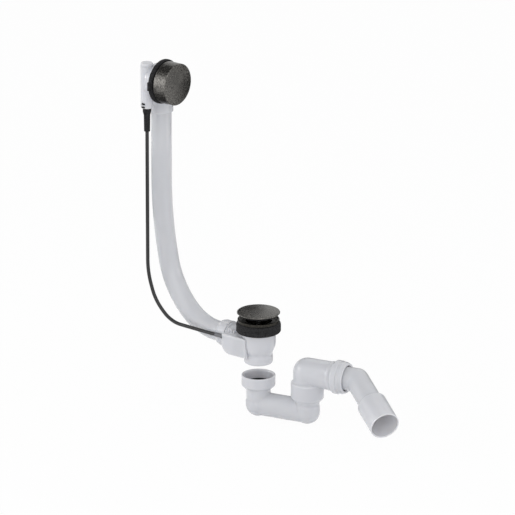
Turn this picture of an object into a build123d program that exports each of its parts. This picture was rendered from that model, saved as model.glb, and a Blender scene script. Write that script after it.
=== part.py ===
from build123d import *
from math import acos, asin, cos, degrees, pi, radians, sin, tan
import os

os.makedirs("parts", exist_ok=True)

# Cable-operated bath waste and overflow with its low trap, in millimetres.
# Origin: on the waste's axis, at the underside of the flange rim, where it seats on the bath.
# +Z is up, +X runs from the overflow towards the waste, and the cable runs on the -Y side.

# Fits
running_fit = 0.1
slip_fit = 0.2
thread_gap = 0.1

# Plug and flange
cap_radius = 36.0
cap_rim_height = 4.0
cap_dome = 2.5
cap_wall = 2.0
cap_edge = 1.2
cap_undercut = 1.8
cap_rim_width = 6.0
cap_seat_gap = 0.6
cap_boss_radius = 7.0
cap_boss_drop = 3.0
plug_lift = 8.0
plug_seal_radius = 27.5
plug_seal_drop = 3.8
stem_radius = 4.0
stem_socket = 4.0
flange_radius = 35.0
flange_height = 5.0
flange_dish_radius = 31.0
flange_dish_drop = 0.6
flange_floor_radius = 29.0
flange_floor_height = 1.5
throat_radius = 22.0
tail_radius = 24.5
tail_length = 16.0
hub_radius = 7.5
spoke_width = 3.0
spoke_height = 6.0

# Waste body and its gasket
gasket_radius = 37.3
gasket_height = 17.5
gasket_shoulder = 33.0
gasket_cover = 8.0
gasket_round = 5.5
gasket_foot_round = 3.0
gasket_groove = 0.7
gasket_skirt_bore = 29.2
collar_radius = 33.4
collar_thickness = 4.5
cup_radius = 28.6
cup_straight = 34.0
cup_bore = 22.0
waist_radius = 23.2
waist_depth = 56.5
spigot_radius = 23.9
spigot_top = 59.5
spigot_bore = 20.5
spigot_depth = 72.0
spigot_round = 3.0
spigot_bore_taper = 3.0

# Branch for the overflow pipe
branch_depth = 35.3
branch_stop_radius = 21.0
branch_stop_width = 2.5
branch_reach = 57.0
branch_thread_length = 12.0
branch_wall = 1.6
branch_throat_radius = 17.3
branch_throat_wall = 2.3
pipe_insert = 27.0
socket_floor = 2.5
web_count = 3
web_pitch = 5.5
web_thickness = 1.6
web_top = 18.5

# Chamber of the lever, below and in front of the branch
chamber_top = 25.0
chamber_bottom = 59.5
chamber_left = 55.0
chamber_right = 4.0
chamber_corner = 17.0
chamber_front = 31.0
chamber_back = 23.0
chamber_wall = 2.0
cover_parting = 22.4
cover_round = 3.0

# Lever that lifts the plug's stem
cable_offset = 26.5
cable_depth = 31.3
lever_pivot_reach = 18.0
crank_height = 19.6
crank_thickness = 2.4
crank_gap = 0.3
crank_slot = 6.9
crank_prong = 2.0
crank_tip = 3.4
lever_arm = 17.5
lever_thickness = 6.0
lever_nose_radius = 2.5
lever_bar_height = 3.2
lever_hub_radius = 5.5
lever_shaft_radius = 2.5
lever_stem_gap = 0.4
lever_room = 0.8

# Overflow pipe: radius of each upper bend, and its heading from the vertical at the bend's end
pipe_radius = 17.0
pipe_wall = 2.0
pipe_bends = ((700.0, 11.8), (152.5, 47.2))
pipe_bend_end = 84.4

# Overflow head: rises and drops are measured from the knob's axis
knob_height = 387.5
knob_offset = 22.8
seat_reach = 178.0
column_setback = 27.6
head_gasket_thickness = 8.0
head_gasket_radius = 37.5
head_gasket_bore = 25.0
lug_height = 15.0
lug_reach = 3.0
lug_thickness = 5.0
barrel_radius = 28.0
barrel_bore = 24.0
barrel_depth = 15.0
barrel_rim_radius = 33.5
barrel_rim_thickness = 3.0
partition_thickness = 3.0
column_radius = 20.0
column_rise = 16.5
column_roof = 5.0
column_round = 7.0
column_drop = 61.5
column_bore = 15.5
pipe_socket_depth = 26.0
screw_boss_radius = 4.5
screw_circle = 17.0
screw_radius = 2.0
screw_head_radius = 4.0
screw_head_height = 2.5
screw_length = 14.0
plate_radius = 31.0
plate_thickness = 3.0
plate_hub_radius = 9.0
plate_hub_height = 3.0
plate_slot_width = 9.0
plate_slot_length = 7.0
plate_slot_count = 4

# Knob and its drive
knob_radius = 35.3
knob_depth = 24.0
knob_clearance = 2.4
knob_wall = 2.2
knob_chamfer = 0.8
knob_face_thickness = 3.0
knob_hub_radius = 8.0
knob_hub_length = 14.0
spindle_radius = 4.0
spindle_socket = 10.0
grub_radius = 2.0
gear_module = 1.0
gear_teeth = 16
gear_width = 6.0
gear_backlash = 0.15
pressure_angle = 20.0
flank_points = 4
gear_room = 0.8
rack_width = 6.4
rack_back = 4.2
rack_drop = 23.5
rack_rise = 21.5
rack_addendum = 0.85
rack_dedendum = 1.25
rack_room = 0.3

# Cable housing beside the overflow
housing_offset = 37.7
housing_radius = 10.4
housing_drop = 46.5
housing_floor = 11.0
housing_rise = 26.0
housing_cap_height = 6.0
housing_cap_round = 2.5
clip_slot_width = 6.3
clip_slot_height = 2.4
clip_slot_levels = (2.6, 8.2)
clip_slot_depth = 5.0
gearbox_rise = 13.5
gearbox_drop = 13.5
gearbox_back = 8.4
gearbox_side = 10.0
gearbox_lid_thickness = 3.0
lid_bearing_depth = 1.5

# Control cable
cable_radius = 3.0
core_radius = 1.0
core_room = 0.4
boot_radius = 7.1
boot_collar_length = 13.0
boot_neck_radius = 5.4
boot_tip_radius = 5.0
boot_length = 41.0
boot_plug_radius = 6.2
boot_plug_height = 9.6
sheath_insert = 30.0
ferrule_radius = 3.6
ferrule_collar_radius = 4.0
ferrule_collar_length = 3.0
ferrule_reach = 70.0
ferrule_seat = 6.0
ferrule_end_wall = 1.0
nipple_radius = 3.0
core_end_inset = 4.0
cable_bend_share = 0.45

# Pipe nut and seals
pipe_nut_radius = 22.3
pipe_nut_gap = 0.5
pipe_nut_length = 21.5
pipe_nut_nose = 8.0
pipe_nut_band = 4.0
pipe_nut_edge = 1.6
seal_width = 3.0
seal_groove = 1.6

# Trap below the waste
trap_gap = 21.5
trap_heading = 12.0
trap_span = 90.4
trap_nut_radius = 28.3
trap_nut_bore = 24.3
trap_nut_straight = 17.5
trap_nut_chamfer = 5.0
trap_nut_edge = 1.0
trap_mouth_depth = 13.0
trap_seal_thickness = 3.5
trap_seal_bore = 17.0
trap_rim = 3.4
leg_radius = 20.3
leg_corner_radius = 21.6
leg_collar = 7.5
leg_rim_radius = 24.0
low_tube_radius = 20.0
low_tube_drop = 50.8
corner_radius = 21.1
corner_collar = 13.0
corner_taper = 3.0
riser_radius = 20.0
trap_wall = 2.4
bell_radius = 27.7
bell_top = 18.5
bell_shoulder = 2.5
bell_length = 25.0
bell_mouth = 4.6
bell_mouth_radius = 24.5
bell_seat_gap = 0.3
riser_shoulder_radius = 23.2
riser_shoulder_height = 5.5
riser_stop = 26.0
riser_stop_width = 3.0
riser_seal_drop = 35.0
riser_seal_height = 6.0
riser_seal_depth = 3.6
elbow_rise = 69.3
elbow_radius = 23.8
elbow_thread_radius = 24.6
elbow_wall = 3.3
elbow_run = 66.0
elbow_collar_start = 43.4
outlet_nut_start = 50.0
outlet_nut_length = 23.5
outlet_nut_radius = 28.3
outlet_nut_barrel = 27.2
outlet_nut_mouth = 25.2
outlet_mouth_gap = 1.8
outlet_ring_inset = 3.6
outlet_ring_width = 8.0
outlet_nut_edge = 1.4
outlet_nut_taper = 6.0
outlet_seal_length = 3.5
outlet_insert = 18.0
outlet_corner = 91.5
outlet_turn = 45.0
outlet_roll = 61.5
outlet_radius = 20.0
outlet_wall = 2.2
outlet_neck = 60.0
outlet_shoulder = 5.0
outlet_end_radius = 25.0
outlet_end_length = 58.0

# Places worked out from the sizes above
cap_base = flange_height + cap_seat_gap + plug_lift
cap_top = cap_base + cap_rim_height
collar_top = -gasket_cover
collar_bottom = collar_top - collar_thickness
branch_z = -branch_depth
cable_z = -cable_depth
lever_pivot_z = cable_z - crank_height
lever_pivot = (-lever_pivot_reach, 0, lever_pivot_z)
half_swing = degrees(asin(plug_lift / 2 / lever_arm))
crank_radius = crank_height + crank_tip
cable_travel = 2 * crank_height * tan(radians(half_swing))
pinion_radius = gear_module * gear_teeth / 2
core_x = -lever_pivot_reach - crank_height * tan(radians(half_swing))
seat_x = -seat_reach
head_front = seat_x - head_gasket_thickness
barrel_back = head_front - barrel_depth
knob_rear = seat_x + knob_clearance
knob_face = knob_rear + knob_depth
drive_x = seat_x - column_setback
column_top = knob_height + column_rise
column_bottom = knob_height - column_drop
gearbox_top = knob_height + gearbox_rise
gearbox_bottom = knob_height - gearbox_drop
housing_top = knob_height + housing_rise
housing_bottom = knob_height - housing_drop
rack_top = knob_height + rack_rise
rack_bottom = knob_height - rack_drop
core_end_x = -ferrule_reach + core_end_inset
rack_pitch_y = -knob_offset - pinion_radius
rack_tip_y = rack_pitch_y + rack_addendum * gear_module
rack_root_y = rack_pitch_y - rack_dedendum * gear_module
trap_top = -spigot_depth - trap_gap
trap_seat = trap_top - trap_mouth_depth
leg_top = trap_seat - trap_seal_thickness
low_tube_z = trap_top - low_tube_drop
elbow_z = low_tube_z + elbow_rise
run = Vector(cos(radians(trap_heading)), sin(radians(trap_heading)), 0)
run_side = Vector(-run.Y, run.X, 0)
riser_foot = Vector(0, 0, low_tube_z) + run * trap_span
elbow_centre = Vector(riser_foot.X, riser_foot.Y, elbow_z)
bell_z = elbow_z - bell_top
bell_foot = bell_z - bell_length - bell_mouth
bend_centre = elbow_centre + run * outlet_corner
bend_side = Vector(0, 0, -cos(radians(outlet_roll))) - run_side * sin(radians(outlet_roll))
outlet_way = run * cos(radians(outlet_turn)) + bend_side * sin(radians(outlet_turn))

waste_axis = Axis.Z
column_plane = Plane(origin=(drive_x, 0, 0), x_dir=(1, 0, 0), z_dir=(0, -1, 0))
column_axis = Axis((drive_x, 0, 0), (0, 0, 1))
branch_axis = Axis((0, 0, branch_z), (1, 0, 0))
knob_axis = Axis((0, -knob_offset, knob_height), (1, 0, 0))
branch_plane = Plane(origin=(0, 0, branch_z), x_dir=(1, 0, 0), z_dir=(0, -1, 0))
knob_plane = Plane(origin=(0, -knob_offset, knob_height), x_dir=(1, 0, 0), z_dir=(0, -1, 0))
run_plane = Plane(origin=elbow_centre, x_dir=run, z_dir=run.cross(Vector(0, 0, 1)))
run_axis = Axis(elbow_centre, run)
outlet_plane = Plane(origin=bend_centre, x_dir=outlet_way, z_dir=outlet_way.cross(Vector(0, 0, 1)))
outlet_axis = Axis(bend_centre, outlet_way)
riser_plane = Plane(origin=(riser_foot.X, riser_foot.Y, 0), x_dir=(1, 0, 0), z_dir=(0, -1, 0))
riser_axis = Axis((riser_foot.X, riser_foot.Y, 0), (0, 0, 1))


def outline(plane, *points):
    """Closed straight-sided section on a plane, for a turned piece."""
    with BuildSketch(plane) as section:
        with BuildLine():
            Polyline(*points, close=True)
        make_face()
    return section.sketch


def cup_section(grow=0.0):
    """Half section of the waste body's outside, from the spigot's end to its collar."""
    with BuildSketch(Plane.XZ) as section:
        with BuildLine():
            foot = spigot_radius + grow
            Polyline((0, -spigot_depth), (foot - spigot_round, -spigot_depth))
            ThreePointArc(
                (foot - spigot_round, -spigot_depth),
                (foot - spigot_round * (1 - sin(pi / 4)), -spigot_depth + spigot_round * (1 - sin(pi / 4))),
                (foot, -spigot_depth + spigot_round),
            )
            Polyline(
                (foot, -spigot_depth + spigot_round),
                (foot, -spigot_top),
                (waist_radius + grow, -waist_depth),
            )
            Spline(
                (waist_radius + grow, -waist_depth),
                ((waist_radius + cup_radius) / 2 + grow, -(waist_depth * 0.6 + cup_straight * 0.4)),
                (cup_radius + grow, -cup_straight),
                tangents=((0, 1), (0, 1)),
            )
            Polyline(
                (cup_radius + grow, -cup_straight),
                (cup_radius + grow, collar_bottom),
                (collar_radius, collar_bottom),
                (collar_radius, collar_top),
                (0, collar_top),
                (0, -spigot_depth),
            )
        make_face()
    return section.sketch


def chamber_section(plane):
    """Outline of the lever chamber, seen from the front, with its large lower left corner."""
    with BuildSketch(plane) as section:
        with BuildLine():
            corner = chamber_corner * (1 - sin(pi / 4))
            Polyline(
                (-chamber_left, -chamber_bottom + chamber_corner),
                (-chamber_left, -chamber_top),
                (-chamber_right, -chamber_top),
                (-chamber_right, -chamber_bottom),
                (-chamber_left + chamber_corner, -chamber_bottom),
            )
            ThreePointArc(
                (-chamber_left + chamber_corner, -chamber_bottom),
                (-chamber_left + corner, -chamber_bottom + corner),
                (-chamber_left, -chamber_bottom + chamber_corner),
            )
        make_face()
    return section.sketch


def involute(angle):
    """Involute function of an angle in radians."""
    return tan(angle) - angle


def pinion_outline():
    """Corner points of the pinion, with one tooth pointing at the rack."""
    base_radius = pinion_radius * cos(radians(pressure_angle))
    tip_radius = pinion_radius + gear_module
    root_radius = pinion_radius - rack_dedendum * gear_module
    pitch_half = pi / 2 / gear_teeth - gear_backlash / 2 / pinion_radius
    flank = []
    for step in range(flank_points):
        radius = base_radius + (tip_radius - base_radius) * step / (flank_points - 1)
        half = pitch_half + involute(radians(pressure_angle)) - involute(acos(base_radius / radius))
        flank.append((radius, half))
    flank.insert(0, (root_radius, flank[0][1]))
    points = []
    for tooth in range(gear_teeth):
        middle = pi + tooth * 2 * pi / gear_teeth
        for radius, half in flank:
            points.append((radius * cos(middle - half), radius * sin(middle - half)))
        for radius, half in reversed(flank):
            points.append((radius * cos(middle + half), radius * sin(middle + half)))
    return points


def rack_outline():
    """Side view of the rack in Y and Z: straight back and teeth that face the pinion."""
    pitch = pi * gear_module
    slope = tan(radians(pressure_angle))
    tip_half = pitch / 4 - gear_backlash / 2 - rack_addendum * gear_module * slope
    root_half = pitch / 4 - gear_backlash / 2 + rack_dedendum * gear_module * slope
    points = [(-housing_offset - rack_back, rack_bottom), (rack_root_y, rack_bottom)]
    first = int((rack_bottom - knob_height) / pitch)
    last = int((rack_top - knob_height) / pitch)
    for tooth in range(first, last):
        middle = knob_height + (tooth + 0.5) * pitch
        points.append((rack_root_y, middle - root_half))
        points.append((rack_tip_y, middle - tip_half))
        points.append((rack_tip_y, middle + tip_half))
        points.append((rack_root_y, middle + root_half))
    points.append((rack_root_y, rack_top))
    points.append((-housing_offset - rack_back, rack_top))
    return points


# Plug: cap, seal and guide rod, shown raised
with BuildPart() as plug_cap:
    with BuildSketch(Plane.XZ):
        with BuildLine():
            recess_radius = cap_radius - cap_rim_width
            recess_top = cap_top - cap_wall
            ThreePointArc(
                (0, cap_top + cap_dome),
                (cap_radius / 2, cap_top + cap_dome * 0.75),
                (cap_radius - cap_edge, cap_top),
            )
            Polyline(
                (cap_radius - cap_edge, cap_top),
                (cap_radius, cap_top - cap_edge),
                (cap_radius, cap_base + cap_undercut),
                (cap_radius - 2 * cap_undercut, cap_base),
                (recess_radius, cap_base),
                (recess_radius, recess_top),
                (cap_boss_radius, recess_top),
                (cap_boss_radius, cap_base - cap_boss_drop),
                (0, cap_base - cap_boss_drop),
                (0, cap_top + cap_dome),
            )
        make_face()
    revolve(axis=waste_axis)
    with BuildSketch(Plane.XY.offset(cap_base - cap_boss_drop)):
        Circle(stem_radius + thread_gap)
    extrude(amount=stem_socket, mode=Mode.SUBTRACT)
plug_cap.part.label = "plug_cap"
export_step(plug_cap.part, "parts/plug_cap.step")

with BuildPart() as plug_seal:
    seal_inner = cap_boss_radius + thread_gap
    revolve(
        outline(
            Plane.XZ,
            (seal_inner, recess_top),
            (recess_radius - thread_gap, recess_top),
            (recess_radius - thread_gap, cap_base),
            (plug_seal_radius, cap_base - plug_seal_drop),
            (plug_seal_radius - cap_wall, cap_base - plug_seal_drop),
            (plug_seal_radius - 2 * cap_wall, cap_base),
            (seal_inner, cap_base),
        ),
        axis=waste_axis,
    )
plug_seal.part.label = "plug_seal"
export_step(plug_seal.part, "parts/plug_seal.step")

stem_top = cap_base - cap_boss_drop + stem_socket
stem_foot = lever_pivot_z + lever_arm * sin(radians(half_swing)) + lever_nose_radius + lever_stem_gap
with BuildPart() as plug_stem:
    with BuildSketch(Plane.XY.offset(stem_foot)):
        Circle(stem_radius)
    extrude(amount=stem_top - stem_foot)
    chamfer(plug_stem.edges().filter_by(GeomType.CIRCLE).group_by(Axis.Z)[0], stem_radius / 5)
plug_stem.part.label = "plug_stem"
export_step(plug_stem.part, "parts/plug_stem.step")

# Flange with its tail, strainer cross and the guide for the stem
lip = flange_height / 2
with BuildPart() as waste_flange:
    with BuildSketch(Plane.XZ):
        with BuildLine():
            Polyline(
                (throat_radius, -tail_length),
                (tail_radius, -tail_length),
                (tail_radius, 0),
                (flange_radius - lip, 0),
            )
            ThreePointArc(
                (flange_radius - lip, 0),
                (flange_radius, lip),
                (flange_radius - lip, flange_height),
            )
            Polyline(
                (flange_radius - lip, flange_height),
                (flange_dish_radius, flange_height - flange_dish_drop),
                (flange_floor_radius, flange_floor_height),
                (throat_radius, flange_floor_height),
                (throat_radius, -tail_length),
            )
        make_face()
    revolve(axis=waste_axis)
    with BuildSketch(Plane.XY.offset(-tail_length)):
        Circle(hub_radius)
        with PolarLocations(0, 2, angular_range=180):
            Rectangle(throat_radius + tail_radius, spoke_width)
        Circle(stem_radius + running_fit, mode=Mode.SUBTRACT)
    extrude(amount=spoke_height)
waste_flange.part.label = "waste_flange"
export_step(waste_flange.part, "parts/waste_flange.step")

# Thick gasket that wraps the body's collar
with BuildPart() as waste_gasket:
    with BuildSketch(Plane.XZ):
        with BuildLine():
            bulge = gasket_radius - gasket_shoulder
            groove_z = collar_top - gasket_groove * 2
            gasket_heel = gasket_foot_round * (1 - sin(pi / 4))
            ThreePointArc(
                (gasket_shoulder, 0),
                (gasket_shoulder + bulge * sin(pi / 4), -gasket_round * (1 - sin(pi / 4))),
                (gasket_radius, -gasket_round),
            )
            Polyline(
                (gasket_radius, -gasket_round),
                (gasket_radius, groove_z + gasket_groove),
                (gasket_radius - gasket_groove, groove_z),
                (gasket_radius, groove_z - gasket_groove),
                (gasket_radius, -gasket_height + gasket_foot_round),
            )
            ThreePointArc(
                (gasket_radius, -gasket_height + gasket_foot_round),
                (gasket_radius - gasket_heel, -gasket_height + gasket_heel),
                (gasket_radius - gasket_foot_round, -gasket_height),
            )
            Polyline(
                (gasket_radius - gasket_foot_round, -gasket_height),
                (gasket_skirt_bore, -gasket_height),
                (gasket_skirt_bore, collar_bottom),
                (collar_radius + thread_gap, collar_bottom),
                (collar_radius + thread_gap, collar_top),
                (tail_radius + slip_fit, collar_top),
                (tail_radius + slip_fit, 0),
                (gasket_shoulder, 0),
            )
        make_face()
    revolve(axis=waste_axis)
waste_gasket.part.label = "waste_gasket"
export_step(waste_gasket.part, "parts/waste_gasket.step")

# Room for the crank in the lever chamber
crank_side = crank_radius * sin(radians(half_swing) + asin((crank_slot / 2 + crank_prong) / crank_radius))
crank_pocket_x = (-lever_pivot_reach - crank_side - lever_room, -lever_pivot_reach + crank_side + lever_room)
crank_pocket_z = (-chamber_bottom + chamber_wall, -chamber_top - chamber_wall + running_fit)
crank_front = cable_offset - core_radius - crank_gap
crank_rear = crank_front - crank_thickness
crank_pocket_y = -chamber_front + chamber_wall


def crank_room():
    """Space that the crank swings in, from the chamber's front wall to the parting face."""
    width = crank_pocket_x[1] - crank_pocket_x[0]
    height = crank_pocket_z[1] - crank_pocket_z[0]
    with BuildPart() as room:
        with Locations((crank_pocket_x[0], crank_pocket_y, crank_pocket_z[0])):
            Box(width, -cover_parting - crank_pocket_y, height, align=(Align.MIN, Align.MIN, Align.MIN))
    return room.part


# White moulded waste body
bore_step = collar_top - (tail_length - gasket_cover) - slip_fit
thread_radius = pipe_radius + slip_fit + branch_wall
thread_end_x = -branch_reach - branch_thread_length
pipe_end_x = thread_end_x + pipe_insert
throat_x = pipe_end_x + socket_floor
with BuildPart() as waste_body:
    revolve(cup_section(), axis=waste_axis)
    revolve(
        outline(
            branch_plane,
            (thread_end_x, 0),
            (thread_end_x, thread_radius),
            (-branch_reach, thread_radius),
            (-branch_reach, branch_stop_radius),
            (-branch_reach + branch_stop_width, branch_stop_radius),
            (-branch_reach + branch_stop_width, thread_radius),
            (throat_x, thread_radius),
            (throat_x, branch_throat_radius),
            (0, branch_throat_radius),
            (0, 0),
        ),
        axis=branch_axis,
    )
    extrude(chamber_section(Plane.XZ.offset(-chamber_back)), amount=chamber_back + cover_parting)
    for web in range(web_count):
        web_x = throat_x - web * web_pitch
        with Locations((web_x, 0, -chamber_top - chamber_wall)):
            Box(
                web_thickness,
                2 * thread_radius,
                chamber_top + chamber_wall - web_top,
                align=(Align.MIN, Align.CENTER, Align.MIN),
            )
    revolve(
        outline(
            Plane.XZ,
            (0, collar_top),
            (tail_radius + thread_gap, collar_top),
            (tail_radius + thread_gap, bore_step),
            (cup_bore, bore_step),
            (cup_bore, lever_pivot_z + lever_hub_radius),
            (spigot_bore, -waist_depth + spigot_bore_taper),
            (spigot_bore, -spigot_depth),
            (0, -spigot_depth),
        ),
        axis=waste_axis,
        mode=Mode.SUBTRACT,
    )
    revolve(
        outline(
            branch_plane,
            (thread_end_x, 0),
            (thread_end_x, pipe_radius + slip_fit),
            (pipe_end_x, pipe_radius + slip_fit),
            (pipe_end_x, branch_throat_radius - branch_throat_wall),
            (-cup_bore / 2, branch_throat_radius - branch_throat_wall),
            (-cup_bore / 2, 0),
        ),
        axis=branch_axis,
        mode=Mode.SUBTRACT,
    )
    with Locations((-lever_pivot_reach - lever_hub_radius - lever_room, 0, -chamber_bottom + chamber_wall)):
        Box(
            lever_pivot_reach,
            lever_thickness + 2 * lever_room,
            chamber_bottom - chamber_wall + lever_pivot_z + lever_hub_radius + lever_room,
            align=(Align.MIN, Align.CENTER, Align.MIN),
            mode=Mode.SUBTRACT,
        )
    add(crank_room(), mode=Mode.SUBTRACT)
    with BuildSketch(Plane.XZ.offset(-chamber_back + chamber_wall)):
        with Locations((-lever_pivot_reach, lever_pivot_z)):
            Circle(lever_shaft_radius + running_fit)
    extrude(amount=chamber_back + chamber_front, mode=Mode.SUBTRACT)
waste_body.part.label = "waste_body"
export_step(waste_body.part, "parts/waste_body.step")

# Front cover of the lever chamber, which holds the cable's ferrule
with BuildPart() as lever_cover:
    extrude(chamber_section(Plane.XZ.offset(cover_parting)), amount=chamber_front - cover_parting)
    fillet(lever_cover.faces().sort_by(Axis.Y)[0].edges(), cover_round)
    revolve(cup_section(slip_fit), axis=waste_axis, mode=Mode.SUBTRACT)
    add(crank_room(), mode=Mode.SUBTRACT)
    with BuildSketch(Plane.YZ.offset(-chamber_left)):
        with Locations((-cable_offset, cable_z)):
            Circle(ferrule_radius + running_fit)
    extrude(amount=ferrule_seat, mode=Mode.SUBTRACT)
    with BuildSketch(Plane.YZ.offset(-chamber_left)):
        with Locations((-cable_offset, cable_z)):
            Circle(core_radius + core_room)
    extrude(amount=chamber_left + crank_pocket_x[0], mode=Mode.SUBTRACT)
lever_cover.part.label = "lever_cover"
export_step(lever_cover.part, "parts/lever_cover.step")

# Lever under the stem, its shaft, and the slotted crank that the cable pulls
lever_way = (cos(radians(half_swing)), 0, sin(radians(half_swing)))
lever_frame = Plane(origin=lever_pivot, x_dir=lever_way, z_dir=(0, -1, 0))
with BuildPart() as lift_lever:
    with BuildSketch(lever_frame.offset(-lever_thickness / 2)):
        Circle(lever_hub_radius)
        with Locations((lever_arm, 0)):
            Circle(lever_nose_radius)
        with Locations((lever_arm / 2, 0)):
            Rectangle(lever_arm, lever_bar_height)
        Circle(lever_shaft_radius + running_fit, mode=Mode.SUBTRACT)
    extrude(amount=lever_thickness)
lift_lever.part.label = "lift_lever"
export_step(lift_lever.part, "parts/lift_lever.step")

with BuildPart() as lever_shaft:
    with BuildSketch(Plane.XZ.offset(-chamber_back + chamber_wall + slip_fit)):
        with Locations((-lever_pivot_reach, lever_pivot_z)):
            Circle(lever_shaft_radius)
    extrude(amount=chamber_back - chamber_wall - slip_fit + crank_front)
lever_shaft.part.label = "lever_shaft"
export_step(lever_shaft.part, "parts/lever_shaft.step")

with BuildPart() as cable_crank:
    with BuildSketch(lever_frame.offset(crank_rear)):
        Circle(lever_hub_radius)
        with Locations((0, crank_radius / 2)):
            Rectangle(crank_slot + 2 * crank_prong, crank_radius)
        with Locations((0, crank_height)):
            Circle(crank_slot / 2, mode=Mode.SUBTRACT)
        with Locations((0, crank_height + crank_tip)):
            Rectangle(crank_slot, 2 * crank_tip, mode=Mode.SUBTRACT)
        Circle(lever_shaft_radius + running_fit, mode=Mode.SUBTRACT)
    extrude(amount=crank_thickness)
cable_crank.part.label = "cable_crank"
export_step(cable_crank.part, "parts/cable_crank.step")

# Lower end of the cable: ferrule, and the core with its barrel nipple in the crank's slot
with BuildPart() as cable_ferrule:
    with BuildSketch(Plane.YZ.offset(-ferrule_reach)):
        with Locations((-cable_offset, cable_z)):
            Circle(ferrule_radius)
    extrude(amount=ferrule_reach - chamber_left + ferrule_seat)
    with BuildSketch(Plane.YZ.offset(-chamber_left)):
        with Locations((-cable_offset, cable_z)):
            Circle(ferrule_collar_radius)
    extrude(amount=-ferrule_collar_length)
    with BuildSketch(Plane.YZ.offset(-chamber_left + ferrule_seat)):
        with Locations((-cable_offset, cable_z)):
            Circle(core_radius + core_room)
    extrude(amount=-(ferrule_reach - chamber_left + ferrule_seat - ferrule_end_wall), mode=Mode.SUBTRACT)
cable_ferrule.part.label = "cable_ferrule"
export_step(cable_ferrule.part, "parts/cable_ferrule.step")

with BuildPart() as cable_core_end:
    with BuildSketch(Plane.XZ.offset(crank_rear + running_fit)):
        with Locations((core_x, cable_z)):
            Circle(nipple_radius)
    extrude(amount=cable_offset + nipple_radius / 2 - crank_rear - running_fit)
    with BuildSketch(Plane.YZ.offset(core_end_x)):
        with Locations((-cable_offset, cable_z)):
            Circle(core_radius)
    extrude(amount=core_x - core_end_x)
cable_core_end.part.label = "cable_core_end"
export_step(cable_core_end.part, "parts/cable_core_end.step")

# Overflow pipe: a straight drop, two upper bends, and a last bend that turns it level for the branch
pipe_drop = 0.0
last_bend_reach = -drive_x - pipe_bend_end
heading = 0.0
for radius, end in pipe_bends:
    pipe_drop += radius * (sin(radians(end)) - sin(radians(heading)))
    last_bend_reach -= radius * (cos(radians(heading)) - cos(radians(end)))
    heading = end
last_bend_radius = last_bend_reach / cos(radians(heading))
pipe_drop += last_bend_radius * (1 - sin(radians(heading)))
print("last bend of the pipe:", round(last_bend_radius, 1))
pipe_top = column_bottom + pipe_socket_depth
bend_top = branch_z + pipe_drop
with BuildPart() as overflow_pipe:
    with BuildLine(Plane.XZ) as pipe_path:
        Line((drive_x, pipe_top), (drive_x, bend_top))
        heading = 0.0
        for radius, end in (*pipe_bends, (last_bend_radius, 90.0)):
            JernArc(pipe_path.line @ 1, pipe_path.line % 1, radius, end - heading)
            heading = end
        Line(pipe_path.line @ 1, (pipe_end_x, branch_z))
    with BuildSketch(Plane.XY.offset(pipe_top)):
        with Locations((drive_x, 0)):
            Circle(pipe_radius)
            Circle(pipe_radius - pipe_wall, mode=Mode.SUBTRACT)
    sweep()
overflow_pipe.part.label = "overflow_pipe"
export_step(overflow_pipe.part, "parts/overflow_pipe.step")

# Union nut on the branch, with its sealing ring
nut_right = -branch_reach - pipe_nut_gap
nut_left = nut_right - pipe_nut_length
nut_bore = thread_radius + thread_gap
with BuildPart() as pipe_union_nut:
    revolve(
        outline(
            branch_plane,
            (nut_right, nut_bore),
            (nut_right, pipe_nut_radius),
            (nut_right - pipe_nut_band, pipe_nut_radius),
            (nut_left + pipe_nut_nose, pipe_nut_radius),
            (nut_left + pipe_nut_nose / 3, pipe_nut_radius - pipe_nut_edge),
            (nut_left, pipe_radius + 2 * slip_fit),
            (thread_end_x - seal_width, pipe_radius + slip_fit),
            (thread_end_x - seal_width, nut_bore),
        ),
        axis=branch_axis,
    )
pipe_union_nut.part.label = "pipe_union_nut"
export_step(pipe_union_nut.part, "parts/pipe_union_nut.step")

with BuildPart() as pipe_lower_seal:
    revolve(
        outline(
            branch_plane,
            (thread_end_x, pipe_radius + thread_gap),
            (thread_end_x, thread_radius),
            (thread_end_x - seal_width, thread_radius),
            (thread_end_x - seal_width, pipe_radius + thread_gap),
        ),
        axis=branch_axis,
    )
pipe_lower_seal.part.label = "pipe_lower_seal"
export_step(pipe_lower_seal.part, "parts/pipe_lower_seal.step")

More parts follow.
